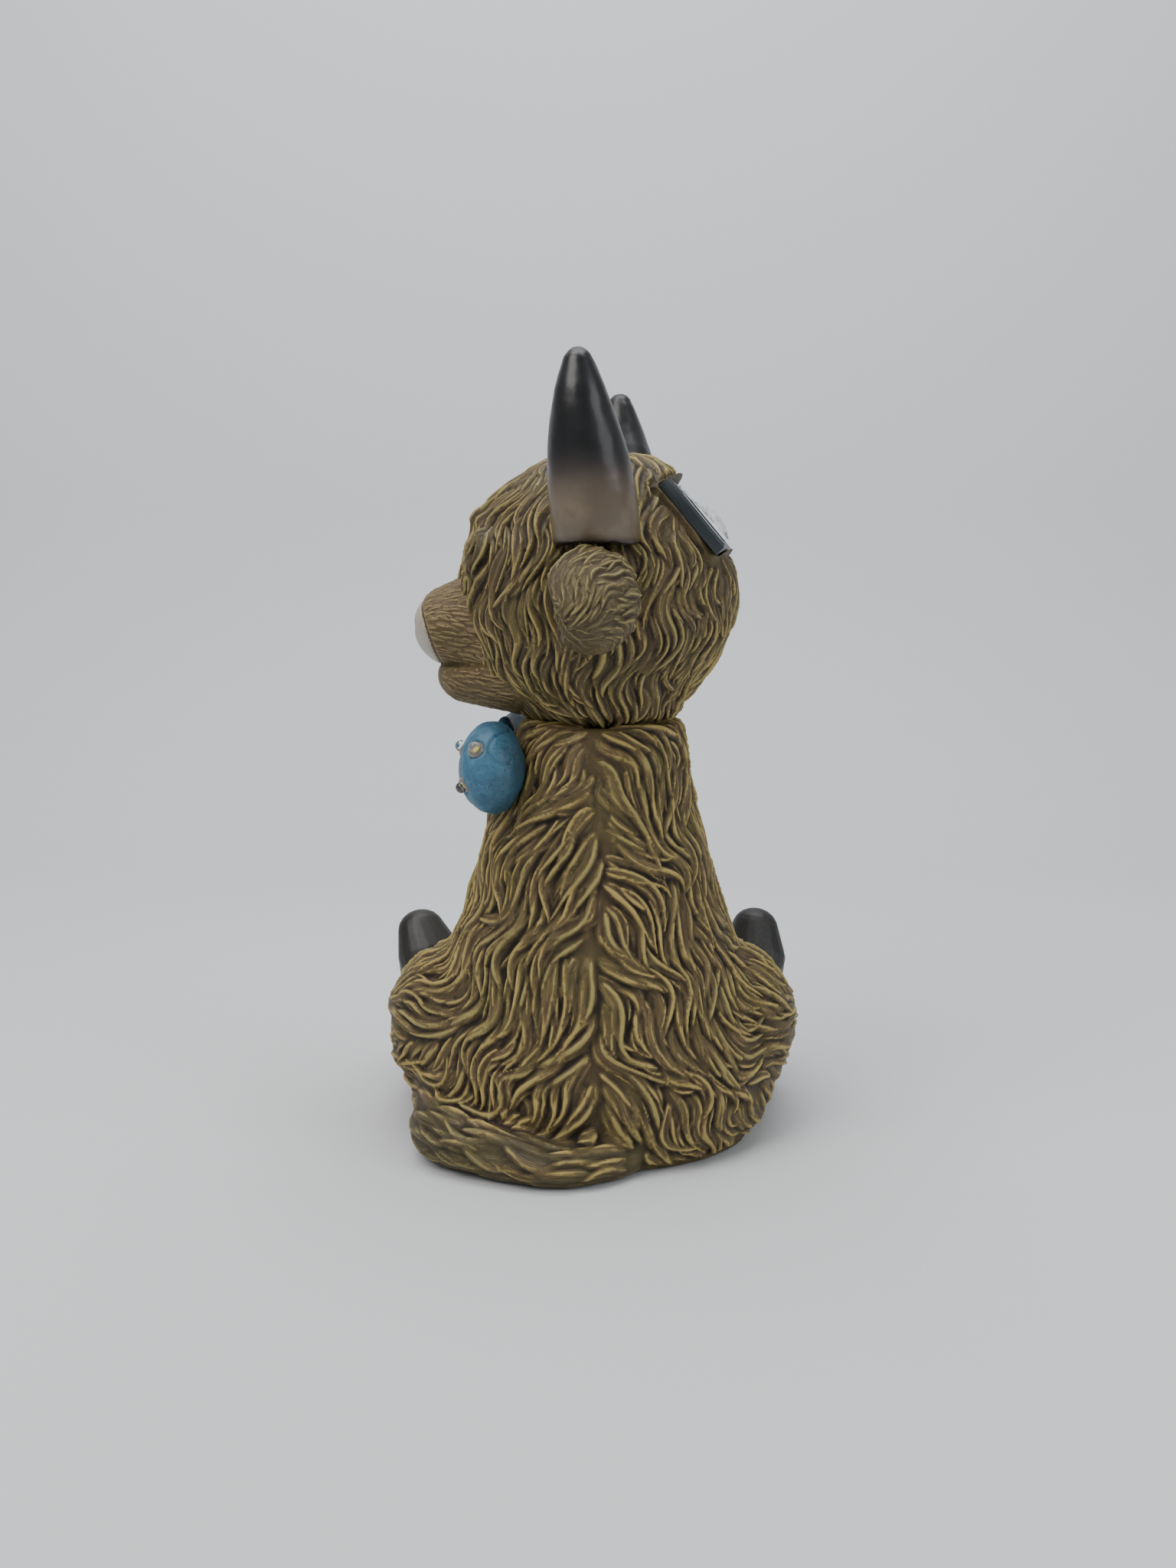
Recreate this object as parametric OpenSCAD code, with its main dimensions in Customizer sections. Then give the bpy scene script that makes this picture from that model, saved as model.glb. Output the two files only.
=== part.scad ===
// Seated highland calf: a hollow garden figure in cold-cast resin, whose bow carries six lamps.
// A solar panel in the back of the head charges one cell in the base, which feeds the lamps.
// Millimetres. +Z is up, the chest faces +Y, and the origin is on the underside of the base plate.

/* [Torso] */
// Width of the torso where it stands on the ground
foot_w = 148; // [138:1:180]
// Depth of the torso, back to front, on the ground
foot_d = 118; // [108:1:144]
// Greatest width of the torso, just above the ground
seat_w = 172; // [150:1:206]
// Greatest depth of the torso
seat_d = 130; // [112:1:156]
// Width at the waist
waist_w = 119; // [100:1:144]
// Depth at the waist
waist_d = 106; // [90:1:128]
// Width at the shoulders
shoulder_w = 91; // [78:1:112]
// Depth at the shoulders
shoulder_d = 87; // [75:1:106]
// Width of the neck where the head sits
neck_w = 71; // [60:1:80]
// Depth of the neck where the head sits
neck_d = 71; // [60:1:80]
// Height of the neck seat above the ground
neck_h = 194; // [165:1:235]
// How far the neck leans to the right of the spine
neck_shift = 4.4; // [0:0.2:8]
// Wall thickness of the castings
wall = 6; // [4:0.5:8]

/* [Legs] */
// Half the distance between the hips
hip_x = 54; // [45:1:62]
// Greatest radius of a thigh
thigh_r = 39; // [31:1:43]
// Height of the thigh's centre
thigh_z = 48; // [42:1:54]
// Half the distance between the hind ankles
ankle_x = 78; // [62:1:86]
// How far in front of the origin the hind ankles lie
ankle_y = 70; // [60:1:84]
// Height at which a hind hoof begins
hind_hoof_z = 46; // [42:1:56]
// Half the distance between the forelegs
foreleg_x = 23; // [19:1:28]
// Radius of a foreleg at its knee
foreleg_r = 15.5; // [12:0.5:19]
// Thickness of the tail
tail_t = 22; // [14:1:24]

/* [Hooves] */
// Width of a hind hoof
hind_hoof_w = 46; // [34:1:50]
// Length of a hind hoof, from its crown to the toes
hind_hoof_l = 43; // [34:1:50]
// Width of a fore hoof
fore_hoof_w = 34; // [27:1:40]
// Height of a fore hoof
fore_hoof_h = 25; // [20:1:30]
// Width of the cleft between the toes
cleft_w = 1.6; // [1:0.1:3]

/* [Head] */
// Length of the head, from brow to nape
head_l = 130; // [112:1:156]
// Width of the head between the ears
head_w = 120; // [104:1:144]
// Height of the head
head_h = 128; // [110:1:154]
// Angle that the head is turned to its left
head_turn = 82; // [60:1:90]
// How far the nose stands in front of the head's centre
nose_reach = 86; // [78:1:100]
// Width of the muzzle
muzzle_w = 60; // [50:1:70]
// Height of the upper lip above the head's lowest point
mouth_z = 31; // [26:1:36]
// Diameter of an eye
eye_d = 13; // [9:0.5:16]

/* [Horns and ears] */
// Diameter of a horn at its root
horn_d = 34.5; // [28:0.5:40]
// Height of a horn, from its root to the tip
horn_h = 74; // [60:1:95]
// How far a horn bows out from its root
horn_bow = 24; // [16:1:32]
// Diameter of the peg that holds a horn or an ear
peg_d = 12; // [8:1:14]
// Length of those pegs inside the head
peg_l = 9; // [6:1:12]
// Width of an ear
ear_w = 40; // [32:1:46]
// How far an ear stands out from the head
ear_l = 36; // [28:1:44]

/* [Bow and lamps] */
// Height of a loop of the bow
loop_h = 41; // [34:1:48]
// Front-to-back thickness of a loop
loop_t = 29; // [24:1:34]
// Height of the bow's centre below the neck seat
bow_drop = 19; // [16:1:26]
// Diameter of a lamp's lens
lamp_d = 5; // [4:0.1:6]
// Length of a lamp, from its rim to the top of the dome
lamp_l = 8.6; // [7:0.1:10]
// How far a lamp stands out of its hole
lamp_proud = 3.4; // [2:0.1:5]

/* [Solar panel] */
// Width of the panel's frame, across the head
panel_w = 68; // [50:1:82]
// Height of the panel's frame, along its slope
panel_h = 38; // [32:1:46]
// Thickness of the panel's frame
panel_t = 5.6; // [4:0.1:7]
// Angle between the panel's face and upright
panel_lean = 40; // [30:1:60]
// Thickness of the clear film left on the panel
film_t = 0.3; // [0.2:0.05:0.5]

/* [Base] */
// Length of the base plate's rim, side to side
plate_l = 108; // [98:1:118]
// Width of the base plate's rim, back to front
plate_w = 74; // [62:1:84]
// Thickness of the base plate's rim
plate_rim = 3; // [2:0.5:4]
// Thickness of the whole base plate
plate_t = 8; // [6:0.5:10]
// Thickness of the battery door
door_t = 1.6; // [1.2:0.1:2]
// Diameter of the battery cell
cell_d = 10.5; // [10:0.1:14.5]
// Length of the battery cell
cell_l = 44.5; // [40:0.5:50.5]
// Travel of the power switch
switch_travel = 3.5; // [2:0.5:4]

/* [Hidden] */

glue_gap = 0.25;     // gap round a piece that is glued into its seat
slide_gap = 0.3;     // gap round a piece that slides
skin_fn = 36;        // sides of a large free-form ring
limb_fn = 24;        // sides of a small free-form ring

// Places that several pieces share
head_seat = pow(1 - pow(neck_w / head_l, 2.5), 0.4);   // share of the head's half height at the seat
head_z = neck_h + head_seat * head_h / 2;
bow_z = neck_h - bow_drop;
wire_r = 8;                                            // radius of the way from the body into the head
bow_wire_r = 3;
foreleg_y = foot_d / 2 + 5;                            // the forelegs stand just in front of the belly

// Places in the base, upwards from the ground
door_gap = 0.8;
door_top = door_gap + door_t;
flange_t = 2;
flange_top = door_top + flange_t;
box_wall = 1.6;
box_w = cell_d + 2.1;                                  // inside width of the battery box
spring_l = 6.4;
box_l = cell_l + spring_l + 1.1;                       // inside length of the battery box
box_top = door_top + cell_d + 1.9;                     // inside ceiling of the battery box
cell_z = door_top + 0.95 + cell_d / 2;
screw_x = box_l / 2 + box_wall + 4.6;                  // from the box's middle to a screw
screw_r = 1.25;
door_l = 2 * screw_x + 8;
door_w = box_w + 13.4;
switch_w = 6;
switch_l = 8.5 + switch_travel;
flange_l = door_l + switch_w + 10;
flange_w = door_w + 1.4;
box_y = -flange_w / 2 - 1.5;                           // the box lies behind the origin, which stays on the plate
box_x = -(switch_w + 4) / 2 - 1;                       // the box stands off centre to leave the switch room
switch_x = box_x + door_l / 2 + 1.5 + switch_w / 2 + 1;
flange_x = box_x + (flange_l - door_l) / 2 - 1;
board_z = box_top + box_wall + 1.2;

// Places on the panel, outwards from the head's centre
panel_r = head_l * 0.43 - panel_t;                     // how deep the panel's seat lies
panel_slip = -3.3;                                     // the panel sits a little below the nape's crown

function mix(a, b, t) = a + (b - a) * t;
function unit(v) = v / norm(v);
function mirrored(side, p) = [side * p[0], p[1], p[2]];

// A smooth curve through stations of any number of values
function spline_point(p, i, t) =
    let (a = p[max(i - 1, 0)], b = p[i], c = p[i + 1], d = p[min(i + 2, len(p) - 1)])
    0.5 * (2 * b + (c - a) * t + (2 * a - 5 * b + 4 * c - d) * t * t + (3 * b - a - 3 * c + d) * t * t * t);
function spline(p, steps) =
    [for (i = [0 : len(p) - 2], k = [0 : steps - 1]) spline_point(p, i, k / steps), p[len(p) - 1]];

function ring(centre, u, v, ru, rv, n) =
    [for (i = [0 : n - 1]) centre + u * ru * cos(360 * i / n) + v * rv * sin(360 * i / n)];
function tangent(p, k) = unit(p[min(k + 1, len(p) - 1)] - p[max(k - 1, 0)]);

// A closed skin over rings of equal point counts, each turning anticlockwise about the way they advance
module skin(rings) {
    n = len(rings[0]);
    m = len(rings);
    sides = [for (j = [0 : m - 2], i = [0 : n - 1])
        let (a = j * n + i, b = j * n + (i + 1) % n, c = b + n, d = a + n)
        each [[a, c, b], [a, d, c]]];
    first = [for (i = [0 : n - 1]) i];
    last = [for (i = [n - 1 : -1 : 0]) (m - 1) * n + i];
    polyhedron([for (r = rings) each r], concat(sides, [first], [last]), convexity = 8);
}

// A limb: stations of [x, y, z, radius across, radius along ref]
module limb(stations, steps = 4, n = limb_fn, ref = [0, 0, 1]) {
    s = spline(stations, steps);
    path = [for (p = s) [p[0], p[1], p[2]]];
    skin([for (k = [0 : len(s) - 1])
        let (t = tangent(path, k), u = unit(cross(ref, t)), v = cross(t, u))
        ring(path[k], u, v, s[k][3], s[k][4], n)]);
}

// A lead: a round tube of one radius along points
module lead(points, r, steps = 3) {
    limb([for (p = points) [p[0], p[1], p[2], r, r]], steps, 8, [0.3, 1, 0.1]);
}

// Free-form pieces are worked out as one mesh
module moulded() resize([0, 0, 0]) children();

module ellipsoid(rx, ry, rz, n = 32) scale([rx, ry, rz]) sphere(1, $fn = n);

module at_head() translate([neck_shift, 0, head_z]) rotate([0, 0, 90 + head_turn]) children();
module at_panel() at_head() rotate([0, panel_lean - 90, 0]) translate([panel_slip, 0, 0]) children();
module at_bow() translate([neck_shift, 0, bow_z]) rotate([0, 0, 90 + head_turn]) children();

// ---- Body ----

// Stations of the torso: [height, shift across, shift along, half width, half depth]
function torso_stations(inset) = [
    [0, 0, 0, foot_w / 2 - inset, foot_d / 2 - inset],
    [neck_h * 0.18, 0, 0, seat_w / 2 - inset, seat_d / 2 - inset],
    [neck_h * 0.57, 1, -1, waist_w / 2 - inset, waist_d / 2 - inset],
    [neck_h * 0.84, 1, 0, shoulder_w / 2 - inset, shoulder_d / 2 - inset],
    [neck_h, neck_shift, 0, neck_w / 2 - inset, neck_d / 2 - inset]];

module torso(inset = 0, from = 0, to = neck_h, n = skin_fn) {
    s = [for (p = spline(torso_stations(inset), 4)) if (p[0] >= from && p[0] <= to) p];
    skin([for (p = s) ring([p[1], p[2], p[0]], [1, 0, 0], [0, 1, 0], p[3], p[4], n)]);
}

// Way that a hind foot points, and the frame of its hoof
function toe_way(side) = unit([side * 0.22, 0.40, 0.89]);
module at_hind_hoof(side) {
    way = toe_way(side);
    translate([side * (ankle_x + 2), ankle_y + 3, hind_hoof_z])
        rotate([0, acos(way[2]), atan2(way[1], way[0])])
            rotate([0, 0, 90 - atan2(way[1], way[0])]) rotate([0, 0, -side * 8]) children();
}
module at_fore_hoof(side) translate([side * foreleg_x, foreleg_y + 3, 0]) children();

module hind_leg(side) {
    way = toe_way(side);
    crown = [side * (ankle_x + 2), ankle_y + 3, hind_hoof_z];
    r = hind_hoof_w / 2 - 3;
    limb([
        [side * (hip_x - 8), -24, thigh_z - 8, thigh_r * 0.55, thigh_r * 0.7],
        [side * hip_x, 0, thigh_z - 1, thigh_r, thigh_r * 1.12],
        [side * mix(hip_x, ankle_x, 0.5), ankle_y * 0.5, thigh_z - 5, thigh_r * 0.86, thigh_r * 0.96],
        [side * (ankle_x - 2), ankle_y - 8, thigh_z - 14, r + 6, r + 7],
        [crown[0] - way[0] * 6, crown[1] - way[1] * 6, crown[2] - way[2] * 8, r, r - 1],
        [crown[0], crown[1], crown[2], r, r - 1]], 3, limb_fn, [side * 0.2, -0.4, 1]);
}

module foreleg(side) {
    limb([
        [side * (foreleg_x - 3), 12, neck_h * 0.66, foreleg_r * 0.9, foreleg_r * 0.9],
        [side * (foreleg_x + 3), 36, neck_h * 0.53, foreleg_r * 1.15, foreleg_r * 1.1],
        [side * foreleg_x, foreleg_y - 4, neck_h * 0.30, foreleg_r, foreleg_r],
        [side * foreleg_x, foreleg_y + 1, fore_hoof_h + 12, foreleg_r, foreleg_r],
        [side * foreleg_x, foreleg_y + 1, fore_hoof_h, foreleg_r + 1, foreleg_r + 1]],
        3, limb_fn, [1, 0, 0]);
}

// The tail lies round the left of the base, and its thick tuft ends beside the left thigh
module tail() {
    r = tail_t / 2;
    limb([
        [16, -foot_d / 2 + 3, r * 0.7, r * 0.7, r * 0.75],
        [-12, -foot_d / 2 - r + 1, r * 0.75, r * 0.9, r * 0.8],
        [-40, -foot_d / 2 - 1, r, r * 1.05, r],
        [-foot_w * 0.42, -foot_d * 0.38, r * 1.25, r * 1.2, r * 1.3],
        [-foot_w * 0.475, -foot_d * 0.23, r * 1.2, r * 1.1, r * 1.2],
        [-foot_w * 0.475, -foot_d * 0.10, r * 1.05, r * 0.6, r * 0.7]], 4, 20);
}

module body_outer() {
    torso();
    for (side = [-1, 1]) {
        hind_leg(side);
        foreleg(side);
    }
    tail();
}

module body_casting() {
    color("olive") moulded() difference() {
        intersection() {
            body_outer();
            translate([-200, -200, 0]) cube([400, 400, neck_h]);
        }
        intersection() {
            torso(wall, 0, neck_h, 28);
            translate([-200, -200, plate_t]) cube([400, 400, neck_h - wall - plate_t]);
        }
        translate([neck_shift, 0, neck_h - 2 * wall]) cylinder(r = wire_r, h = 3 * wall, $fn = 32);
        base_rim(plate_l + 2 * glue_gap, plate_w + 2 * glue_gap, -1, plate_rim);
        base_plug(glue_gap, 0, plate_t + 1);
        at_bow() rotate([0, 90, 0]) cylinder(r = bow_wire_r, h = neck_w, $fn = 24);
        for (side = [-1, 1]) {
            hoof_blank(side);
            at_fore_hoof(side) translate([0, 0, -1]) cylinder(r = fore_hoof_w / 2 + 1.5, h = fore_hoof_h + 1, $fn = limb_fn);
        }
    }
}

// Clears the space that a hind hoof fills, above the crown that it is glued to
module hoof_blank(side) {
    at_hind_hoof(side) translate([-hind_hoof_w / 2 - 3, -hind_hoof_w * 0.36 - 3, 0])
        cube([hind_hoof_w + 6, hind_hoof_w * 0.72 + 6, hind_hoof_l + 10]);
}

// ---- Hooves ----

// A cloven hoof on z = 0: two toes joined at the crown, which is as wide as the leg
module cloven_hoof(w, d, h) {
    difference() {
        intersection() {
            for (side = [-1, 1]) hull() {
                translate([side * w * 0.17, 0, 0]) ellipsoid(w * 0.27, d * 0.42, h * 0.25, 20);
                translate([side * w * 0.235, 0, h * 0.42]) ellipsoid(w * 0.265, d * 0.5, h * 0.3, 20);
                translate([side * w * 0.225, d * 0.06, h * 0.76]) ellipsoid(w * 0.2, d * 0.36, h * 0.24, 20);
            }
            translate([-w, -w, 0]) cube([2 * w, 2 * w, 2 * h]);
        }
        translate([-cleft_w / 2, -w, h * 0.34]) cube([cleft_w, 2 * w, h]);
    }
}

module hind_hoof(side) {
    color("dimgray") moulded() at_hind_hoof(side) cloven_hoof(hind_hoof_w, hind_hoof_w * 0.72, hind_hoof_l);
}

module fore_hoof(side) {
    color("dimgray") moulded() at_fore_hoof(side) difference() {
        hull() {
            translate([0, 3, 0]) cylinder(r = fore_hoof_w / 2, h = fore_hoof_h * 0.5, $fn = limb_fn);
            translate([0, -2, 0]) cylinder(r = foreleg_r + 0.5, h = fore_hoof_h, $fn = limb_fn);
        }
        translate([-cleft_w / 2, 0, -1]) cube([cleft_w, fore_hoof_w, fore_hoof_h * 0.8]);
    }
}

// ---- Head ----

// Half width of the head at a height from -1 at the chin to 1 at the crown, full below and round above
function head_share(u) = u < 0 ? pow(1 - pow(-u, 2.5), 0.4) : sqrt(1 - u * u);

module head_ball(inset = 0, n = skin_fn, m = 18) {
    skin([for (k = [0 : m])
        let (u = sin(mix(-89, 89, k / m)), share = head_share(u))
        ring([0, 0, u * (head_h / 2 - inset)], [1, 0, 0], [0, 1, 0],
            share * (head_l / 2 - inset), share * (head_w / 2 - inset), n)]);
}

// The muzzle in two stacked parts: the upper lip with the nose, and the jaw behind and below it
module muzzle() {
    lip_z = mouth_z - head_h / 2;
    intersection() {
        hull() {
            translate([nose_reach - 19, 0, lip_z + 17.5]) ellipsoid(19, muzzle_w / 2, 19, 28);
            translate([head_l / 2 - 24, 0, lip_z + 19]) ellipsoid(16, muzzle_w / 2 + 2, 29, 28);
        }
        translate([0, -muzzle_w, lip_z + 1]) cube([200, 2 * muzzle_w, 80]);
    }
    intersection() {
        hull() {
            translate([nose_reach - 27, 0, lip_z - 5]) ellipsoid(16.5, muzzle_w * 0.4, 13, 28);
            translate([head_l / 2 - 30, 0, lip_z - 4]) ellipsoid(16, muzzle_w * 0.46, 19, 28);
        }
        translate([0, -muzzle_w, lip_z - 80]) cube([200, 2 * muzzle_w, 80]);
    }
}

module head_outer() at_head() {
    head_ball();
    muzzle();
}

module panel_pocket() {
    at_panel() translate([-panel_h / 2 - glue_gap, -panel_w / 2 - glue_gap, panel_r])
        cube([panel_h + 2 * glue_gap, panel_w + 2 * glue_gap, head_l]);
}

// Solid resin left round the pocket, so that its floor and sides keep their wall
module pocket_block() {
    at_panel() translate([-panel_h / 2 - wall, -panel_w / 2 - wall, panel_r - wall])
        cube([panel_h + 2 * wall, panel_w + 2 * wall, head_l]);
}

module head_casting() {
    color("olive") moulded() difference() {
        intersection() {
            head_outer();
            translate([-200, -200, neck_h]) cube([400, 400, 400]);
        }
        difference() {
            intersection() {
                at_head() head_ball(wall, 28, 12);
                translate([-200, -200, neck_h + wall]) cube([400, 400, 400]);
            }
            pocket_block();
        }
        translate([neck_shift, 0, neck_h - 1]) cylinder(r = wire_r, h = 2 * wall, $fn = 32);
        panel_pocket();
        at_panel() cylinder(r = 3, h = head_l, $fn = 24);
        for (side = [-1, 1]) {
            eye_ball(side, eye_d / 2 + glue_gap);
            horn_peg(side, glue_gap);
            ear_peg(side, glue_gap);
        }
    }
}

// The eyes sit low on the brow, each side of the muzzle's root
module eye_ball(side, r) {
    at_head() translate([head_l * 0.395, side * head_w * 0.21, head_h * 0.105]) sphere(r, $fn = 32);
}

module eye(side) color("black") eye_ball(side, eye_d / 2);

// ---- Horns and ears: side 1 is the calf's left ----

horn_root_z = head_h * 0.20;
horn_foot_z = horn_root_z - 6.5;     // the ears end just below this height, and the horns start at it

module horn_shape(side) {
    r = horn_d / 2;
    root_y = head_w / 2 - 20;
    at_head() limb([
        [-3.5, side * root_y, horn_root_z - 4, r * 0.9, r * 0.9],
        [-3.5, side * (root_y + horn_bow * 0.55), horn_root_z + horn_h * 0.10, r, r],
        [-2.5, side * (root_y + horn_bow), horn_root_z + horn_h * 0.38, r * 0.95, r * 0.95],
        [-0.5, side * (root_y + horn_bow * 1.25), horn_root_z + horn_h * 0.66, r * 0.69, r * 0.69],
        [0.5, side * (root_y + horn_bow * 1.3), horn_root_z + horn_h * 0.9, r * 0.31, r * 0.31],
        [0.5, side * (root_y + horn_bow * 1.3), horn_root_z + horn_h * 0.955, r * 0.06, r * 0.06]],
        4, limb_fn, [1, 0, 0]);
}

module horn_peg(side, gap = 0) {
    at_head() translate([-3.5, side * (head_w / 2 - 3), horn_root_z + 3])
        rotate([side * 90, 0, 0]) cylinder(r = peg_d / 2 + gap, h = peg_l + 9 + gap, $fn = 24);
}

module ear_shape(side) {
    r = ear_w / 2;
    root_y = head_w / 2 - 9;
    drop = -4.7;
    at_head() difference() {
        limb([
            [-4, side * root_y, drop + 6, r * 0.55, r * 0.65],
            [-5, side * (root_y + ear_l * 0.25), drop + 4, r * 0.85, r * 1.0],
            [-5, side * (root_y + ear_l * 0.6), drop, r, r * 1.14],
            [-2, side * (root_y + ear_l), drop - 4, r * 0.72, r * 0.82],
            [3, side * (root_y + ear_l * 1.2), drop - 7, r * 0.2, r * 0.2]], 3, limb_fn, [0, 0, 1]);
        translate([r * 0.95 - 5, side * (root_y + ear_l * 0.62), drop - 4])
            rotate([0, 0, side * -12]) ellipsoid(r * 0.55, ear_l * 0.5, r * 0.62, 24);
    }
}

module ear_peg(side, gap = 0) {
    at_head() translate([-2, side * (head_w / 2 + 3), -1])
        rotate([side * 90, 0, 0]) cylinder(r = peg_d / 2 - 1 + gap, h = peg_l + 5 + gap, $fn = 24);
}

// A wide block in the head's frame, from one height to another
module head_layer(from, to) at_head() translate([-150, -150, from]) cube([300, 300, to - from]);

module horn(side) {
    color("dimgray") moulded() difference() {
        union() {
            horn_shape(side);
            horn_peg(side);
        }
        difference() {
            head_outer();
            horn_peg(side);
        }
        head_layer(-head_h, horn_foot_z);
    }
}

module ear(side) {
    color("darkkhaki") moulded() difference() {
        union() {
            ear_shape(side);
            ear_peg(side);
        }
        difference() {
            head_outer();
            ear_peg(side);
        }
        head_layer(horn_foot_z - 0.5, head_h);
    }
}

// ---- Bow and lamps ----

loop_y = 35;                        // from the bow's middle to the fullest part of a loop
loop_x = neck_w / 2 + 8.5;          // from the neck's axis to the same place
loop_half_l = 19;
knot_x = loop_x + 5;

// Ways that the lamps face on a loop, as [angle round from the front, angle up]
lamp_front = [5, 35];
lamp_side = [75, 32];
lamp_low = [45, -25];

module loop_solid(side, inset = 0) {
    hull() {
        translate([loop_x, side * loop_y, 0])
            ellipsoid(loop_t / 2 - inset, loop_half_l - inset, loop_h / 2 - inset, inset > 0 ? 16 : 24);
        translate([knot_x, side * 9, 0]) ellipsoid(8 - inset, 6, loop_h * 0.27 - inset, 16);
    }
}

// Puts children on a loop's surface at a lamp, with +Z along the way that the lamp faces
module at_lamp(side, way) {
    d = [cos(way[1]) * cos(way[0]), cos(way[1]) * sin(way[0]), sin(way[1])];
    reach = 1 / norm([d[0] / (loop_t / 2), d[1] / loop_half_l, d[2] / (loop_h / 2)]);
    at_bow() translate([loop_x + reach * d[0], side * (loop_y + reach * d[1]), reach * d[2]])
        rotate([0, 90 - way[1], side * way[0]]) children();
}

module neck_and_head() {
    torso();
    head_outer();
}

module knot_solid() translate([knot_x + 1, 0, 0]) ellipsoid(11, 9.5, loop_h * 0.33, 24);

module bow_loops() {
    color("steelblue") moulded() difference() {
        at_bow() for (side = [-1, 1]) loop_solid(side);
        at_bow() for (side = [-1, 1]) loop_solid(side, 3);
        neck_and_head();
        at_bow() knot_solid();
        for (side = [-1, 1], way = [lamp_front, lamp_side, lamp_low])
            at_lamp(side, way) translate([0, 0, -lamp_l]) cylinder(r = lamp_d / 2 + 0.7, h = 2 * lamp_l, $fn = 20);
    }
}

module bow_knot() {
    color("steelblue") moulded() difference() {
        at_bow() knot_solid();
        neck_and_head();
        at_bow() rotate([0, 90, 0]) cylinder(r = bow_wire_r, h = knot_x + 2, $fn = 24);
        at_bow() translate([knot_x - 3, 0, 0]) rotate([90, 0, 0])
            cylinder(r = bow_wire_r, h = 40, center = true, $fn = 20);
    }
}

module lamp(side, way) {
    rim_h = 1;
    color("white") at_lamp(side, way) translate([0, 0, lamp_proud - lamp_l]) {
        cylinder(r = lamp_d / 2 + 0.4, h = rim_h, $fn = 32);
        cylinder(r = lamp_d / 2, h = lamp_l - lamp_d / 2, $fn = 32);
        translate([0, 0, lamp_l - lamp_d / 2]) intersection() {
            sphere(lamp_d / 2, $fn = 32);
            translate([-lamp_d, -lamp_d, 0]) cube(2 * lamp_d);
        }
    }
}

function bow_point(x, z) =
    [neck_shift + x * cos(90 + head_turn), x * sin(90 + head_turn), bow_z + z];

// From the knot, through the neck wall and down to the circuit board
module lamp_lead() {
    color("black") lead([
        bow_point(knot_x, 0),
        bow_point(neck_w / 2, 0),
        bow_point(neck_w / 2 - 14, -3),
        [-9, 1, bow_z - 30],
        [-12, -4, neck_h * 0.5],
        [-17, box_y, board_z + 22],
        [box_x - 14, box_y, board_z + 8],
        [box_x - 14, box_y, board_z + 1.8]], 1.2);
}

// ---- Solar panel ----

cell_inset = 4;      // width of the frame round the solar cell
cell_t = 1.2;

module solar_frame() {
    color("black") at_panel() difference() {
        hull() {
            translate([-panel_h / 2, -panel_w / 2, panel_r]) cube([panel_h, panel_w, panel_t - 1.2]);
            translate([-panel_h / 2 + 1.2, -panel_w / 2 + 1.2, panel_r])
                cube([panel_h - 2.4, panel_w - 2.4, panel_t]);
        }
        translate([-panel_h / 2 + cell_inset, -panel_w / 2 + cell_inset, panel_r + panel_t - cell_t - 0.4])
            cube([panel_h - 2 * cell_inset, panel_w - 2 * cell_inset, 5]);
        translate([0, 0, panel_r - 1]) cylinder(r = 2, h = 20, $fn = 24);
        for (side = [-1, 1]) translate([1, side * (panel_w / 2 + 0.4), panel_r - 1])
            rotate([0, 0, 45]) cube([2.4, 2.4, 20], center = false);
    }
}

module solar_cell() {
    gap = 0.1;
    color("midnightblue") at_panel() translate([
        -panel_h / 2 + cell_inset + gap, -panel_w / 2 + cell_inset + gap, panel_r + panel_t - cell_t - 0.4])
        cube([panel_h - 2 * cell_inset - 2 * gap, panel_w - 2 * cell_inset - 2 * gap, cell_t]);
}

// Height of the loose film above the panel, from -1 to 1 along and across it
function film_rise(a, b) =
    0.3 + 4.2 * pow(max(0, cos(90 * (a + 0.35))), 2) * (1 - b * b) + 0.7 * (1 + sin(400 * b + 200 * a));

module panel_film() {
    na = 9;
    nb = 15;
    l = panel_h / 2 - 2;
    w = panel_w / 2 - 3;
    function strip(j) = let (b = mix(-1, 1, j / nb)) concat(
        [for (i = [0 : na]) let (a = mix(-1, 1, i / na)) [a * l, b * w, film_rise(a, b) + film_t]],
        [for (i = [na : -1 : 0]) let (a = mix(-1, 1, i / na)) [a * l, b * w, film_rise(a, b)]]);
    color("white") at_panel() translate([0, 0, panel_r + panel_t]) mirror([0, 1, 0])
        skin([for (j = [nb : -1 : 0]) [for (i = [2 * na + 1 : -1 : 0]) strip(j)[i]]]);
}

// The end of a panel lead in the body's frame, at a distance out from the head's centre
function panel_point(r) =
    let (turn = 90 + head_turn, x = -r * cos(panel_lean) + panel_slip * sin(panel_lean),
         z = r * sin(panel_lean) + panel_slip * cos(panel_lean))
    [neck_shift + x * cos(turn), x * sin(turn), head_z + z];

module solar_lead() {
    color("black") lead([
        panel_point(panel_r + panel_t - cell_t - 0.7),
        panel_point(panel_r - wall - 6),
        [neck_shift + 10, -1, head_z],
        [neck_shift + 1, 0, neck_h + 14],
        [neck_shift + 1, 0, neck_h - 16],
        [6, -6, neck_h * 0.55],
        [5, box_y, board_z + 24],
        [box_x + 12, box_y, board_z + 8],
        [box_x + 12, box_y, board_z + 1.8]], 1.5);
}

// ---- Base ----

module rounded_block(l, w, r, h) {
    translate([-l / 2 + r, -w / 2, 0]) cube([l - 2 * r, w, h]);
    translate([-l / 2, -w / 2 + r, 0]) cube([l, w - 2 * r, h]);
    for (x = [-1, 1], y = [-1, 1])
        translate([x * (l / 2 - r), y * (w / 2 - r), 0]) cylinder(r = r, h = h, $fn = 48);
}

module base_rim(l, w, from, to) translate([0, 0, from]) rounded_block(l, w, 12, to - from);
module base_plug(gap, from, to)
    translate([0, 0, from]) rounded_block(plate_l - 8 + 2 * gap, plate_w - 8 + 2 * gap, 8, to - from);

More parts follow.
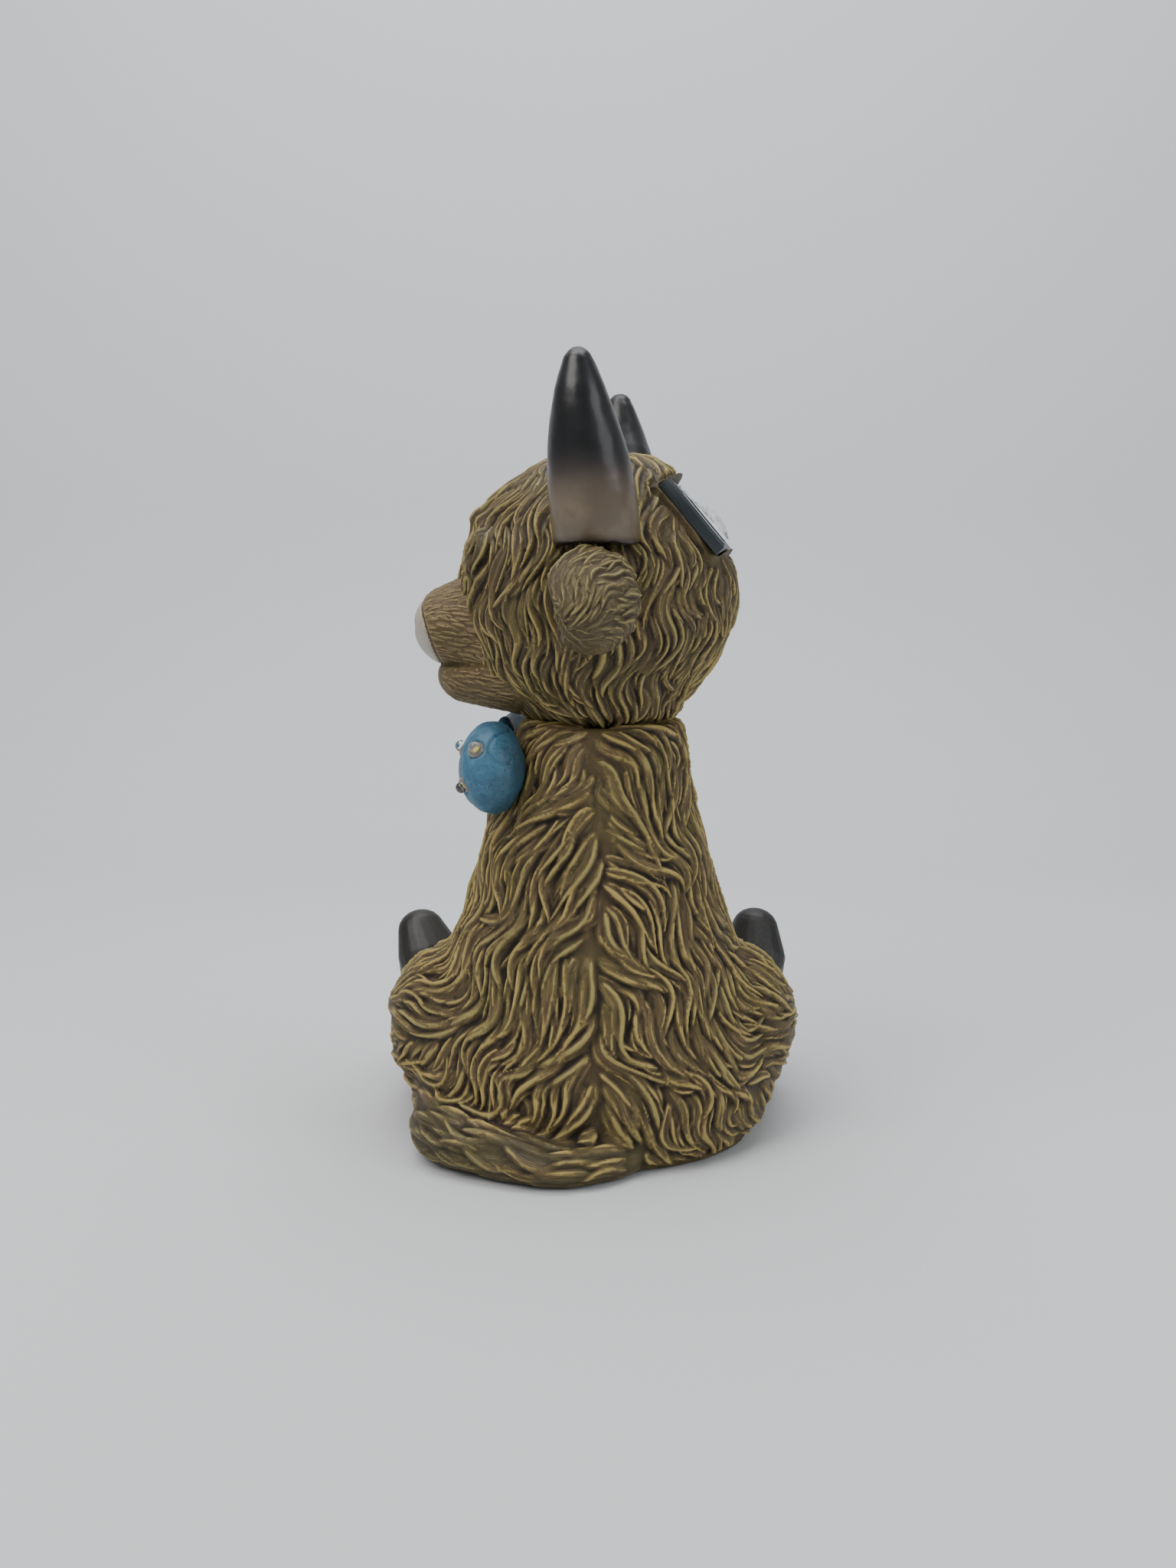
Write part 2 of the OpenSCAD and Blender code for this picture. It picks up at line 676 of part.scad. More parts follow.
// Rectangle centred on a place in the base, from one height to another
module base_block(x, y, l, w, from, to) translate([x - l / 2, y - w / 2, from]) cube([l, w, to - from]);

module screw_holes(r, from, to) {
    for (side = [-1, 1])
        translate([box_x + side * screw_x, box_y, from]) cylinder(r = r, h = to - from, $fn = 24);
}

module base_plate() {
    color("saddlebrown") difference() {
        union() {
            base_rim(plate_l, plate_w, 0, plate_rim);
            base_plug(0, plate_rim, plate_t);
        }
        base_block(flange_x, box_y, flange_l + 2 * glue_gap, flange_w + 2 * glue_gap, -1, flange_top);
        base_block(box_x, box_y, box_l + 2 * box_wall + 2 * glue_gap, box_w + 2 * box_wall + 2 * glue_gap,
            0, plate_t + 1);
        base_block(switch_x, box_y, switch_w + 2 * glue_gap, switch_l + 2 * glue_gap, 0, plate_t + 1);
        screw_holes(screw_r + 0.06, 0, plate_t + 1);
    }
}

module battery_box() {
    color("black") difference() {
        union() {
            base_block(flange_x, box_y, flange_l, flange_w, door_top, flange_top);
            base_block(box_x, box_y, box_l + 2 * box_wall, box_w + 2 * box_wall, door_top, box_top + box_wall);
            for (side = [-1, 1])
                base_block(box_x + side * 16, box_y, 3, box_w, box_top, board_z);
        }
        base_block(box_x, box_y, box_l, box_w, 0, box_top);
        base_block(switch_x, box_y, 4.2, 4 + switch_travel + 2 * slide_gap, 0, flange_top + 1);
        screw_holes(screw_r + 0.06, 0, plate_t + 1);
    }
}

module battery_cell() {
    nub_l = 0.8;
    end = box_x + box_l / 2 - 0.6;
    color("seagreen") translate([end, box_y, cell_z]) rotate([0, -90, 0]) {
        cylinder(r = 1.9, h = nub_l + 1, $fn = 32);
        translate([0, 0, nub_l]) cylinder(r = cell_d / 2, h = cell_l - nub_l, $fn = 48);
    }
}

module contact_spring() {
    turns = 4;
    wire = 0.35;
    from = box_x - box_l / 2 + wire + 0.1;
    l = spring_l - 2 * wire - 0.2;
    color("silver") skin([for (k = [0 : 12 * turns])
        let (t = k / (12 * turns), r = mix(4.2, 2.2, t), a = 360 * turns * t,
             c = [from + l * t, box_y + r * cos(a), cell_z + r * sin(a)],
             out = [0, cos(a), sin(a)], way = unit([l / turns, -2 * PI * r * sin(a), 2 * PI * r * cos(a)]),
             u = out, v = cross(way, u))
        ring(c, u, v, wire, wire, 6)]);
}

module contact_plate() {
    color("silver") base_block(box_x + box_l / 2 - 0.3, box_y, 0.5, box_w - 3, cell_z - 4, cell_z + 4);
}

module circuit_board() {
    color("darkgreen") difference() {
        base_block(box_x, box_y, 42, box_w + 2, board_z, board_z + 1.6);
        for (side = [-1, 1])
            translate([box_x + side * 19, box_y, board_z - 1]) cylinder(r = 1, h = 4, $fn = 24);
    }
}

module board_parts() {
    top = board_z + 1.6;
    color("dimgray") {
        translate([box_x - 5, box_y, top]) cylinder(r = 3.5, h = 5, $fn = 32);
        base_block(box_x + 4, box_y, 4, 5, top, top + 1.6);
        translate([box_x + 17, box_y, top]) cylinder(r = 2.5, h = 7, $fn = 32);
    }
}

module switch_body() {
    color("silver") difference() {
        base_block(switch_x, box_y, switch_w, switch_l, flange_top, flange_top + 5.5);
        base_block(switch_x, box_y, 4.2, 4 + switch_travel + 2 * slide_gap, flange_top - 1, flange_top + 3);
    }
}

// At rest the slider stands at the off end of its slot
module switch_slider() {
    color("black") base_block(switch_x, box_y - switch_travel / 2, 4.2 - 2 * slide_gap, 4,
        door_gap + 0.5, flange_top + 2.6);
}

module battery_door() {
    lip = 1.2;
    color("black") difference() {
        union() {
            base_block(box_x, box_y, door_l, door_w, door_gap, door_top);
            difference() {
                base_block(box_x, box_y, box_l - 2 * slide_gap, box_w - 2 * slide_gap, door_gap, flange_top);
                base_block(box_x, box_y, box_l + 2, box_w - 2 * slide_gap - 2 * lip,
                    door_top, flange_top + 1);
            }
        }
        screw_holes(screw_r + 0.3, 0, 10);
        screw_holes(2.6, 0, door_gap + 1);
    }
}

module door_screws() {
    color("silver") for (side = [-1, 1]) translate([box_x + side * screw_x, box_y, 0]) difference() {
        union() {
            translate([0, 0, door_gap + 0.1]) cylinder(r = 2.4, h = 0.9, $fn = 32);
            translate([0, 0, door_gap + 0.1]) cylinder(r = screw_r, h = plate_t - door_gap - 0.6, $fn = 32);
        }
        translate([-1.6, -0.3, 0]) cube([3.2, 0.6, door_gap + 0.6]);
        translate([-0.3, -1.6, 0]) cube([0.6, 3.2, door_gap + 0.6]);
    }
}

body_casting();
head_casting();
horn(1);  // left_horn
horn(-1);  // right_horn
ear(1);  // left_ear
ear(-1);  // right_ear
eye(1);  // left_eye
eye(-1);  // right_eye
hind_hoof(-1);  // left_hind_hoof
hind_hoof(1);  // right_hind_hoof
fore_hoof(-1);  // left_fore_hoof
fore_hoof(1);  // right_fore_hoof
bow_loops();
bow_knot();
lamp(1, lamp_front);  // lamp_left_front
lamp(1, lamp_side);  // lamp_left_side
lamp(1, lamp_low);  // lamp_left_low
lamp(-1, lamp_front);  // lamp_right_front
lamp(-1, lamp_side);  // lamp_right_side
lamp(-1, lamp_low);  // lamp_right_low
lamp_lead();
solar_frame();
solar_cell();
panel_film();
solar_lead();
base_plate();
battery_box();
battery_cell();
contact_spring();
contact_plate();
circuit_board();
board_parts();
switch_body();
switch_slider();
battery_door();
door_screws();
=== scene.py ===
"""A seated highland calf in cold-cast resin, painted by hand, with lamps in its bow."""

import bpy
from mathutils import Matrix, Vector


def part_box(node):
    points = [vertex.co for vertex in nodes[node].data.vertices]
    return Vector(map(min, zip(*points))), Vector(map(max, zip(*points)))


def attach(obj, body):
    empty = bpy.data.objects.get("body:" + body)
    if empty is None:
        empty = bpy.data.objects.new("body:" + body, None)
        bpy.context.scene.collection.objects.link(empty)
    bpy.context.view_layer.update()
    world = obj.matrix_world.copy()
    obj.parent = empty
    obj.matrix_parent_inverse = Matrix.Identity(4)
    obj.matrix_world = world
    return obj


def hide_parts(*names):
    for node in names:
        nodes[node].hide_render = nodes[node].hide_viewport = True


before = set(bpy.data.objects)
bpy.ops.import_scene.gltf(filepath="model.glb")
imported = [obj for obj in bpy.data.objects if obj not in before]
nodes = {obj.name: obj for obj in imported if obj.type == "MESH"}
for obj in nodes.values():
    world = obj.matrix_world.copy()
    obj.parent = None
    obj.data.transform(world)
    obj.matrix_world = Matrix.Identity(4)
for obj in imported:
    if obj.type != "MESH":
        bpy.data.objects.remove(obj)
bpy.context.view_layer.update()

import math

import bmesh
import bpy
import numpy as np
from mathutils import Matrix, Vector, noise
from mathutils.bvhtree import BVHTree

MM = 0.001
rng = np.random.default_rng(41)

# Places shared with the castings, in millimetres
NECK_SEAT = 194.0
HEAD_X = 4.4
HEAD_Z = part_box("head_casting")[1].z / MM - 64.0
HEAD_TURN = math.radians(82)
HEAD_LENGTH, HEAD_WIDTH, HEAD_HEIGHT = 130.0, 120.0, 128.0
MOUTH = 31.0 - HEAD_HEIGHT / 2
NOSE_REACH = 86.0
EYE = (HEAD_LENGTH * 0.395, HEAD_WIDTH * 0.21, HEAD_HEIGHT * 0.105)
EAR_TIP = (3.0, 94.0, -11.5)
HORN_FOOT = HEAD_HEIGHT * 0.20 - 6.5
PANEL_LEAN = math.radians(40)
PANEL_SEAT = HEAD_LENGTH * 0.43 - 5.6
PANEL_HALF = (19.0, 34.0)
PANEL_THICK = 5.6
PANEL_SLIP = -3.3
BOW_Z = NECK_SEAT - 19
LOOP = (44.0, 35.0)
LOOP_RADII = (14.5, 19.0, 20.5)
KNOT_X = 49.0
LAMP_R, LAMP_L, LAMP_PROUD = 2.5, 8.6, 3.4
TAIL_TOP, TAIL_RIGHT = 34, 22           # the tail lies below and to the left of these
MOST_BODY, MOST_HEAD, MOST_MUZZLE, MOST_BOW = 196000, 190000, 120000, 190000    # triangles
LAMP_WAYS = {"front": (5, 35), "side": (75, 32), "low": (45, -25)}

head_frame = Matrix.Translation((HEAD_X, 0, HEAD_Z)) @ Matrix.Rotation(math.pi / 2 + HEAD_TURN, 4, "Z")
panel_frame = (head_frame @ Matrix.Rotation(PANEL_LEAN - math.pi / 2, 4, "Y")
               @ Matrix.Translation((PANEL_SLIP, 0, 0)))
bow_frame = Matrix.Translation((HEAD_X, 0, BOW_Z)) @ Matrix.Rotation(math.pi / 2 + HEAD_TURN, 4, "Z")


# ---------------------------------------------------------------- camera, light and floor

def aim(obj, place, target):
    obj.location = place
    obj.rotation_euler = (Vector(target) - Vector(place)).to_track_quat("-Z", "Y").to_euler()


def make_camera():
    camera = bpy.data.objects.new("camera", bpy.data.cameras.new("camera"))
    bpy.context.scene.collection.objects.link(camera)
    camera.data.lens = 34.3
    camera.data.sensor_width = 36
    camera.location = (-0.002, -0.680, 0.250)
    camera.rotation_euler = (math.radians(90 - 7.19), 0, 0)
    bpy.context.scene.camera = camera


def softbox(name, place, target, size, power, tint=(1, 1, 1)):
    light = bpy.data.lights.new(name, "AREA")
    light.shape = "RECTANGLE"
    light.size, light.size_y = size
    light.energy = power
    light.color = tint
    lamp = bpy.data.objects.new(name, light)
    bpy.context.scene.collection.objects.link(lamp)
    aim(lamp, place, target)


# Name, place, target, size, power and tint of each light, in metres and watts
LIGHTS = (
    ("key_light", (-0.75, -0.75, 1.25), (0, 0, 0.15), (0.9, 0.9), 13, (1.0, 0.98, 0.95)),
    ("fill_light", (1.1, -0.7, 0.7), (0, 0, 0.2), (0.8, 1.0), 6, (0.93, 0.96, 1.0)),
    ("top_light", (0.0, 0.15, 1.5), (0, 0, 0.1), (1.4, 1.0), 11, (1.0, 0.99, 0.97)),
    ("backdrop_light", (0.0, -0.1, 1.9), (0, 1.1, 1.1), (1.6, 0.5), 13, (0.96, 0.98, 1.0)))


def make_studio():
    world = bpy.data.worlds.new("studio")
    bpy.context.scene.world = world
    world.use_nodes = True
    background = world.node_tree.nodes["Background"]
    background.inputs["Color"].default_value = (0.80, 0.84, 0.90, 1)
    background.inputs["Strength"].default_value = 0.42
    for light in LIGHTS:
        softbox(*light)
    bm = bmesh.new()
    edge = bmesh.ops.create_grid(bm, x_segments=1, y_segments=1, size=1.0)["verts"]
    bmesh.ops.scale(bm, vec=(1.6, 1.4, 1), verts=edge)
    bmesh.ops.translate(bm, vec=(0, -0.75, 0), verts=edge)
    rim = [e for e in bm.edges if all(v.co.y > 0.6 for v in e.verts)]
    for turn in range(6):
        made = bmesh.ops.extrude_edge_only(bm, edges=rim)["geom"]
        fresh = [g for g in made if isinstance(g, bmesh.types.BMVert)]
        angle = math.radians(15 * turn + 7.5)
        bmesh.ops.translate(bm, vec=(0, 0.09 * math.cos(angle), 0.09 * math.sin(angle)), verts=fresh)
        rim = [g for g in made if isinstance(g, bmesh.types.BMEdge)]
    made = bmesh.ops.extrude_edge_only(bm, edges=rim)["geom"]
    bmesh.ops.translate(bm, vec=(0, 0, 2.0), verts=[g for g in made if isinstance(g, bmesh.types.BMVert)])
    bmesh.ops.recalc_face_normals(bm, faces=bm.faces)
    mesh = bpy.data.meshes.new("floor")
    bm.to_mesh(mesh)
    bm.free()
    for face in mesh.polygons:
        face.use_smooth = True
    floor = bpy.data.objects.new("floor", mesh)
    bpy.context.scene.collection.objects.link(floor)
    material = bpy.data.materials.new("floor_paper")
    material.use_nodes = True
    shader = material.node_tree.nodes["Principled BSDF"]
    shader.inputs["Base Color"].default_value = (0.66, 0.67, 0.68, 1)
    shader.inputs["Roughness"].default_value = 0.8
    mesh.materials.append(material)


# ---------------------------------------------------------------- meshes

def to_object(name, bm):
    mesh = bpy.data.meshes.new(name)
    bm.to_mesh(mesh)
    bm.free()
    obj = bpy.data.objects.new(name, mesh)
    bpy.context.scene.collection.objects.link(obj)
    return obj


def settled(obj):
    """Applies the modifiers of a piece."""
    mesh = bpy.data.meshes.new_from_object(obj.evaluated_get(bpy.context.evaluated_depsgraph_get()))
    obj.modifiers.clear()
    obj.data = mesh
    return obj


def evened(obj, voxel, smooth=0):
    """Joins whatever overlaps in a piece into one even skin, then smooths it."""
    even = obj.modifiers.new("even", "REMESH")
    even.mode = "VOXEL"
    even.voxel_size = voxel
    if smooth:
        soft = obj.modifiers.new("soft", "SMOOTH")
        soft.factor = 0.5
        soft.iterations = smooth
    return settled(obj)


def thinned(obj, most):
    """Drops the least needed edges of a dense skin until it has no more triangles than asked."""
    count = sum(len(face.vertices) - 2 for face in obj.data.polygons)
    if count > most:
        thin = obj.modifiers.new("thin", "DECIMATE")
        thin.ratio = most / count
        settled(obj)
    return obj


def casting_copy(name):
    """The named casting as a loose mesh, in millimetres."""
    bm = bmesh.new()
    bm.from_mesh(nodes[name].data)
    bmesh.ops.scale(bm, vec=(1 / MM,) * 3, verts=bm.verts)
    bmesh.ops.remove_doubles(bm, verts=bm.verts, dist=0.002)
    return bm


def ball(bm, centre, radii, detail=24):
    made = bmesh.ops.create_uvsphere(bm, u_segments=detail, v_segments=detail // 2, radius=1)["verts"]
    bmesh.ops.scale(bm, vec=radii, verts=made)
    bmesh.ops.transform(bm, matrix=Matrix.Translation(centre), verts=made)


def hulled(bm):
    """Wraps the loose points of a mesh in their tightest skin."""
    bmesh.ops.delete(bm, geom=bm.edges[:] + bm.faces[:], context="EDGES_FACES")
    hull = bmesh.ops.convex_hull(bm, input=bm.verts)
    bmesh.ops.delete(bm, geom=[g for g in hull["geom_interior"] if isinstance(g, bmesh.types.BMVert)])
    bmesh.ops.recalc_face_normals(bm, faces=bm.faces)


def pared(bm, place, outward):
    """Cuts a solid flat at a plane and closes the cut."""
    cut = bmesh.ops.bisect_plane(bm, geom=bm.verts[:] + bm.edges[:] + bm.faces[:], plane_co=place,
                                 plane_no=outward, clear_outer=True)
    bmesh.ops.holes_fill(bm, edges=[g for g in cut["geom_cut"] if isinstance(g, bmesh.types.BMEdge)])


def joined(bm, part):
    """Adds one mesh to another."""
    mesh = bpy.data.meshes.new("part")
    part.to_mesh(mesh)
    part.free()
    bm.from_mesh(mesh)
    bpy.data.meshes.remove(mesh)


def block(bm, low, high, place=Matrix.Identity(4)):
    made = bmesh.ops.create_cube(bm, size=1)["verts"]
    bmesh.ops.scale(bm, vec=[h - l for l, h in zip(low, high)], verts=made)
    middle = [(l + h) / 2 for l, h in zip(low, high)]
    bmesh.ops.transform(bm, matrix=place @ Matrix.Translation(middle), verts=made)


def loft(bm, rings, sides=32):
    """A closed skin over circles: each ring is a matrix that places a circle of radius 1."""
    loops = []
    for place in rings:
        made = bmesh.ops.create_circle(bm, segments=sides, radius=1)["verts"]
        bmesh.ops.transform(bm, matrix=place, verts=made)
        loops.append([e for e in {e for v in made for e in v.link_edges}])
    for below, above in zip(loops, loops[1:]):
        bmesh.ops.bridge_loops(bm, edges=below + above)
    bmesh.ops.holes_fill(bm, edges=loops[0] + loops[-1])
    bmesh.ops.recalc_face_normals(bm, faces=bm.faces)


def tube_rings(points, radii, upright="Y"):
    """Rings along a bent tube, each square to the way it runs; radii are pairs, across and up."""
    rings = []
    for k, (p, (across, up)) in enumerate(zip(points, radii)):
        way = Vector(points[min(k + 1, len(points) - 1)]) - Vector(points[max(k - 1, 0)])
        turn = way.normalized().to_track_quat("Z", upright).to_matrix().to_4x4()
        rings.append(Matrix.Translation(p) @ turn @ Matrix.Diagonal((across, up, 1, 1)))
    return rings


def curve_through(stations, steps):
    """A smooth curve through rows of numbers."""
    s = np.array(stations, float)
    rows = []
    for i in range(len(s) - 1):
        a, b, c, d = s[max(i - 1, 0)], s[i], s[i + 1], s[min(i + 2, len(s) - 1)]
        for k in range(steps):
            t = k / steps
            rows.append(0.5 * (2 * b + (c - a) * t + (2 * a - 5 * b + 4 * c - d) * t * t
                               + (3 * b - a - 3 * c + d) * t ** 3))
    rows.append(s[-1])
    return np.array(rows)


def finish_piece(obj, slot, body, *replaced):
    """Brings a piece from millimetres into the row's frame and hands it over."""
    obj.data.transform(Matrix.Scale(MM, 4))
    for face in obj.data.polygons:
        face.use_smooth = True
    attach(obj, body)
    if replaced:
        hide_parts(*replaced)
    return obj


# ---------------------------------------------------------------- locks of hair

def mesh_arrays(mesh):
    count = len(mesh.vertices)
    places = np.empty(count * 3, np.float32)
    mesh.vertices.foreach_get("co", places)
    outward = np.empty(count * 3, np.float32)
    mesh.vertex_normals.foreach_get("vector", outward)
    pairs = np.empty(len(mesh.edges) * 2, np.int32)
    mesh.edges.foreach_get("vertices", pairs)
    return places.reshape(-1, 3), outward.reshape(-1, 3), pairs.reshape(-1, 2)


def reshaped(obj, places):
    """Moves the vertices of a piece to new places."""
    obj.data.vertices.foreach_set("co", places.astype(np.float32).ravel())


def blurred(values, pairs, rounds):
    count = len(values)
    degree = np.bincount(pairs.ravel(), minlength=count) + 1.0
    for _ in range(rounds):
        total = values.copy()
        total += np.bincount(pairs[:, 0], values[pairs[:, 1]], count)
        total += np.bincount(pairs[:, 1], values[pairs[:, 0]], count)
        values = total / degree
    return values


def unit(v):
    return v / max(np.linalg.norm(v), 1e-9)


def trace(tree, flow, start, length, step=2.5, stop=None, curl=0.0):
    """Follows the way the hair lies over a surface, from a root to a tip."""
    points, normals = [], []
    p = Vector(start)
    count = max(4, int(length / step)) + 1
    for k in range(count):
        place, normal, _, _ = tree.find_nearest(p)
        if stop is not None and len(points) > 1 and stop(place):
            break
        points.append(np.array(place))
        normals.append(np.array(normal))
        way = flow(points[-1], normals[-1])
        way = unit(way - normals[-1] * np.dot(way, normals[-1]))
        way = swirl(way, normals[-1], curl * math.cos(math.pi * 1.4 * k / count))
        p = Vector(points[-1] + way * step)
    return np.array(points), np.array(normals)


CELL = 7.5
AROUND = np.array([(x, y, z) for x in (-1, 0, 1) for y in (-1, 0, 1) for z in (-1, 0, 1)], float)


class Coat:
    """The relief of a coat of locks: the height of each vertex, and where it lies on its lock."""

    def __init__(self, mesh):
        self.places, self.outward, self.pairs = mesh_arrays(mesh)
        codes = self.codes(self.places)
        order = np.argsort(codes, kind="stable")
        names, starts = np.unique(codes[order], return_index=True)
        self.cells = dict(zip(names.tolist(), np.split(order, starts[1:])))
        count = len(self.places)
        self.height = np.zeros(count)
        self.strand = np.zeros((count, 3), np.float32)
        self.chance = np.zeros(count, np.float32)
        self.along = np.zeros(count, np.float32)

    @staticmethod
    def codes(places):
        """The cell of space, CELL wide, that each place lies in."""
        cell = np.floor(places / CELL).astype(np.int64) + 100
        return (cell[..., 0] * 1000 + cell[..., 1]) * 1000 + cell[..., 2]

    def lay(self, points, normals, half_width, rise, crest, sharp, chance):
        around = points[:, None, :] + AROUND * min(half_width + 0.5, CELL)
        found = [self.cells[c] for c in set(self.codes(around).ravel().tolist()) if c in self.cells]
        if not found:
            return
        near = np.concatenate(found)
        run = np.diff(points, axis=0)
        length = np.maximum(np.linalg.norm(run, axis=1), 1e-6)
        spots = self.places[near]
        offset = spots[:, None, :] - points[None, :-1, :]
        part = np.clip((offset * run).sum(2) / length ** 2, 0, 1)
        gap = offset - part[:, :, None] * run
        best = (gap ** 2).sum(2).argmin(1)
        rows = np.arange(len(near))
        gap, part = gap[rows, best], part[rows, best]
        way = run[best] / length[best, None]
        side = np.cross(way, normals[best])
        across = (gap * side).sum(1)
        depth = np.abs((gap * normals[best]).sum(1))
        t = (best + part) / len(run)
        width = half_width * np.clip(np.sin(math.pi * np.clip(t, 0, 1) ** 0.75), 0, 1) ** 0.62 + 0.15
        v = across / width
        inside = (np.abs(v) < 1) & (depth < 5) & ((self.outward[near] * normals[best]).sum(1) > 0.2)
        if not inside.any():
            return
        near, t, v, across, best, part = (a[inside] for a in (near, t, v, across, best, part))
        lean = crest * (1 if chance < 0.5 else -1) * np.cos(1.3 * t)
        rising = np.where(v < lean, (v + 1) / (lean + 1), (1 - v) / (1 - lean))
        ridge = 0.85 * rising ** sharp + 0.15 * rising ** (sharp * 3)
        second = 1 - np.abs(2 * ((v * 1.25 + chance * 7.0 + 0.25 * np.sin(5 * t)) % 1) - 1)
        swell = (0.25 + 0.75 * np.clip(t / 0.5, 0, 1) ** 0.8) * np.clip(t / 0.07, 0, 1)
        swell = swell * np.clip((1 - t) / 0.22, 0, 1) ** 0.5
        level = rise * swell * (ridge * 0.72 + 0.28 * second * np.clip(rising * 2.5, 0, 1))
        better = level > self.height[near]
        near = near[better]
        self.height[near] = level[better]
        total = np.concatenate([[0], np.cumsum(length)])
        self.strand[near, 0] = (total[best] + part * length[best])[better]
        self.strand[near, 1] = across[better]
        self.strand[near, 2] = chance * 200.0
        self.chance[near] = chance
        self.along[near] = t[better]

    def apply(self, mesh, sink=0.0, floor=None, spread=5, quiet=None, carve=None):
        """Moves the skin out to the relief and keeps what the painter needs as attributes."""
        height = blurred(self.height, self.pairs, 1) * 0.3 + self.height * 0.7
        if quiet is not None:
            height = height * quiet
            sink = sink * np.clip(quiet * 3, 0, 1)
        if carve is not None:
            height = height - carve
        moved = self.places + self.outward * (height - sink)[:, None]
        if floor is not None:
            moved[:, 2] = np.maximum(moved[:, 2], floor)
        mesh.vertices.foreach_set("co", moved.astype(np.float32).ravel())
        wide = blurred(height, self.pairs, spread * 3)
        close = blurred(height, self.pairs, spread)
        paint = np.ones((len(height), 4), np.float32)
        paint[:, 0] = np.clip(0.5 + (height - close) * 0.75, 0, 1)
        paint[:, 1] = np.clip(0.5 + (height - wide) * 0.42, 0, 1)
        paint[:, 2] = self.chance
        paint[:, 3] = self.along
        mesh.attributes.new("paint", "FLOAT_COLOR", "POINT").data.foreach_set("color", paint.ravel())
        mesh.attributes.new("strand", "FLOAT_VECTOR", "POINT").data.foreach_set("vector", self.strand.ravel())
        mesh.update()


def scatter(places, flow, normals, along, across, allowed, tries):
    """Roots spread evenly, further apart along the hair than across it."""
    picks = rng.permutation(len(places))[:tries]
    chosen, ways, sides = np.zeros((0, 3)), np.zeros((0, 3)), np.zeros((0, 3))
    for i in picks:
        p = places[i]
        if not allowed(p):
            continue
        if len(chosen):
            gap = chosen - p
            close = ((gap * ways).sum(1) / along) ** 2 + ((gap * sides).sum(1) / across) ** 2 \
                + ((gap ** 2).sum(1) - (gap * ways).sum(1) ** 2 - (gap * sides).sum(1) ** 2) / 64
            if close.min() < 1:
                continue
        n = normals[i]
        way = flow(p, n)
        way = unit(way - n * np.dot(way, n))
        chosen = np.vstack([chosen, p])
        ways = np.vstack([ways, way])
        sides = np.vstack([sides, np.cross(way, n)])
    return chosen


def soft_noise(p, size, seed):
    return noise.noise(Vector((p[0] / size + seed, p[1] / size, p[2] / size)))


def swirl(way, normal, angle):
    """Turns a way within the surface."""
    return way * math.cos(angle) + np.cross(normal, way) * math.sin(angle)


def body_flow(p, normal):
    """Down from the spine and outward, in waves; round the thighs towards the hooves."""
    spine = 2 + 2.0 * math.sin(p[2] / 17)
    round_back = math.atan2(p[0] - spine, max(-p[1], 1) if p[1] < 0 else 1 + p[1] * 0.2)
    outward = np.array([-p[1], p[0], 0.0])
    outward = unit(outward) * (1 if p[1] < 0 else -1)
    side = 1 if p[0] > spine else -1
    level = np.clip((p[2] - 15) / 170, 0, 1)
    near_spine = math.exp(-abs(round_back) / math.radians(38)) if p[1] < 20 else 0
    sway = side * (0.15 + (0.55 + 0.6 * level) * near_spine)
    thigh = np.clip((abs(p[0]) - 52) / 25, 0, 1) * np.clip((100 - p[2]) / 30, 0, 1)
    way = np.array([0, 0, -1.0]) + np.array([1.0, 0, 0]) * sway * (1 if p[1] < 20 else 0)
    way = way * (1 - 0.75 * thigh) + thigh * np.array([0.35 * side, 1.0, -0.15])
    way = unit(way - normal * np.dot(way, normal))
    phase = 2 * math.pi * (p[2] / 44) + 3.4 * soft_noise(p, 45, 3.1) + side * 0.9
    turn = math.radians(30) * math.sin(phase) + math.radians(24) * soft_noise(p, 22, 9.7)
    return swirl(way, normal, side * turn)


def head_flow(p, normal):
    """Down from the crown on every side, in waves."""
    crown = np.array([HEAD_X + 4, 0, HEAD_Z + 75])
    way = p - crown
    way = way + np.array([0, 0, -1.0]) * 40
    way = unit(way - normal * np.dot(way, normal))
    phase = 2 * math.pi * (p[2] / 38) + 3.0 * soft_noise(p, 38, 17.3)
    turn = math.radians(27) * math.sin(phase) + math.radians(22) * soft_noise(p, 18, 5.5)
    return swirl(way, normal, turn)


def comb(mesh, layers, sink=1.4, floor=None, quiet=None, carve=None, spread=5):
    """Covers a skin with layers of locks."""
    coat = Coat(mesh)
    bm = bmesh.new()
    bm.from_mesh(mesh)
    tree = BVHTree.FromBMesh(bm)
    bm.free()
    for layer in layers:
        roots = layer.get("roots")
        if roots is None:
            bare = coat.height < layer.get("bare", math.inf)
            roots = scatter(coat.places[bare], layer["flow"], coat.outward[bare], layer["along"],
                            layer["across"], layer["allowed"], layer.get("tries", 14000))
        for root in roots:
            chance = float(rng.random())
            size = float(rng.uniform(0.75, 1.25))
            points, normals = trace(tree, layer["flow"], root, layer["length"] * size,
                                    min(2.5, layer["length"] / 6), layer.get("stop"),
                                    math.radians(float(rng.normal(0, layer.get("curl", 16)))))
            if len(points) < 5:
                continue
            coat.lay(points, normals, layer["half_width"] * float(rng.uniform(0.75, 1.25)),
                     layer["rise"] * float(rng.uniform(0.7, 1.15)), float(rng.uniform(0.35, 0.75)),
                     float(rng.uniform(1.1, 1.9)), chance)
    at = coat.places
    coat.apply(mesh, sink(at) if callable(sink) else sink, floor, spread,
               None if quiet is None else quiet(at), None if carve is None else carve(at))


def lock_layers(flow, allowed, stop, rows):
    """Layers of locks from rows of along, across, length, half width, rise, tries and the bare height."""
    names = ("along", "across", "length", "half_width", "rise", "tries", "bare")
    return [dict(zip(names, row), flow=flow, allowed=allowed, stop=stop) for row in rows]


# ---------------------------------------------------------------- paint

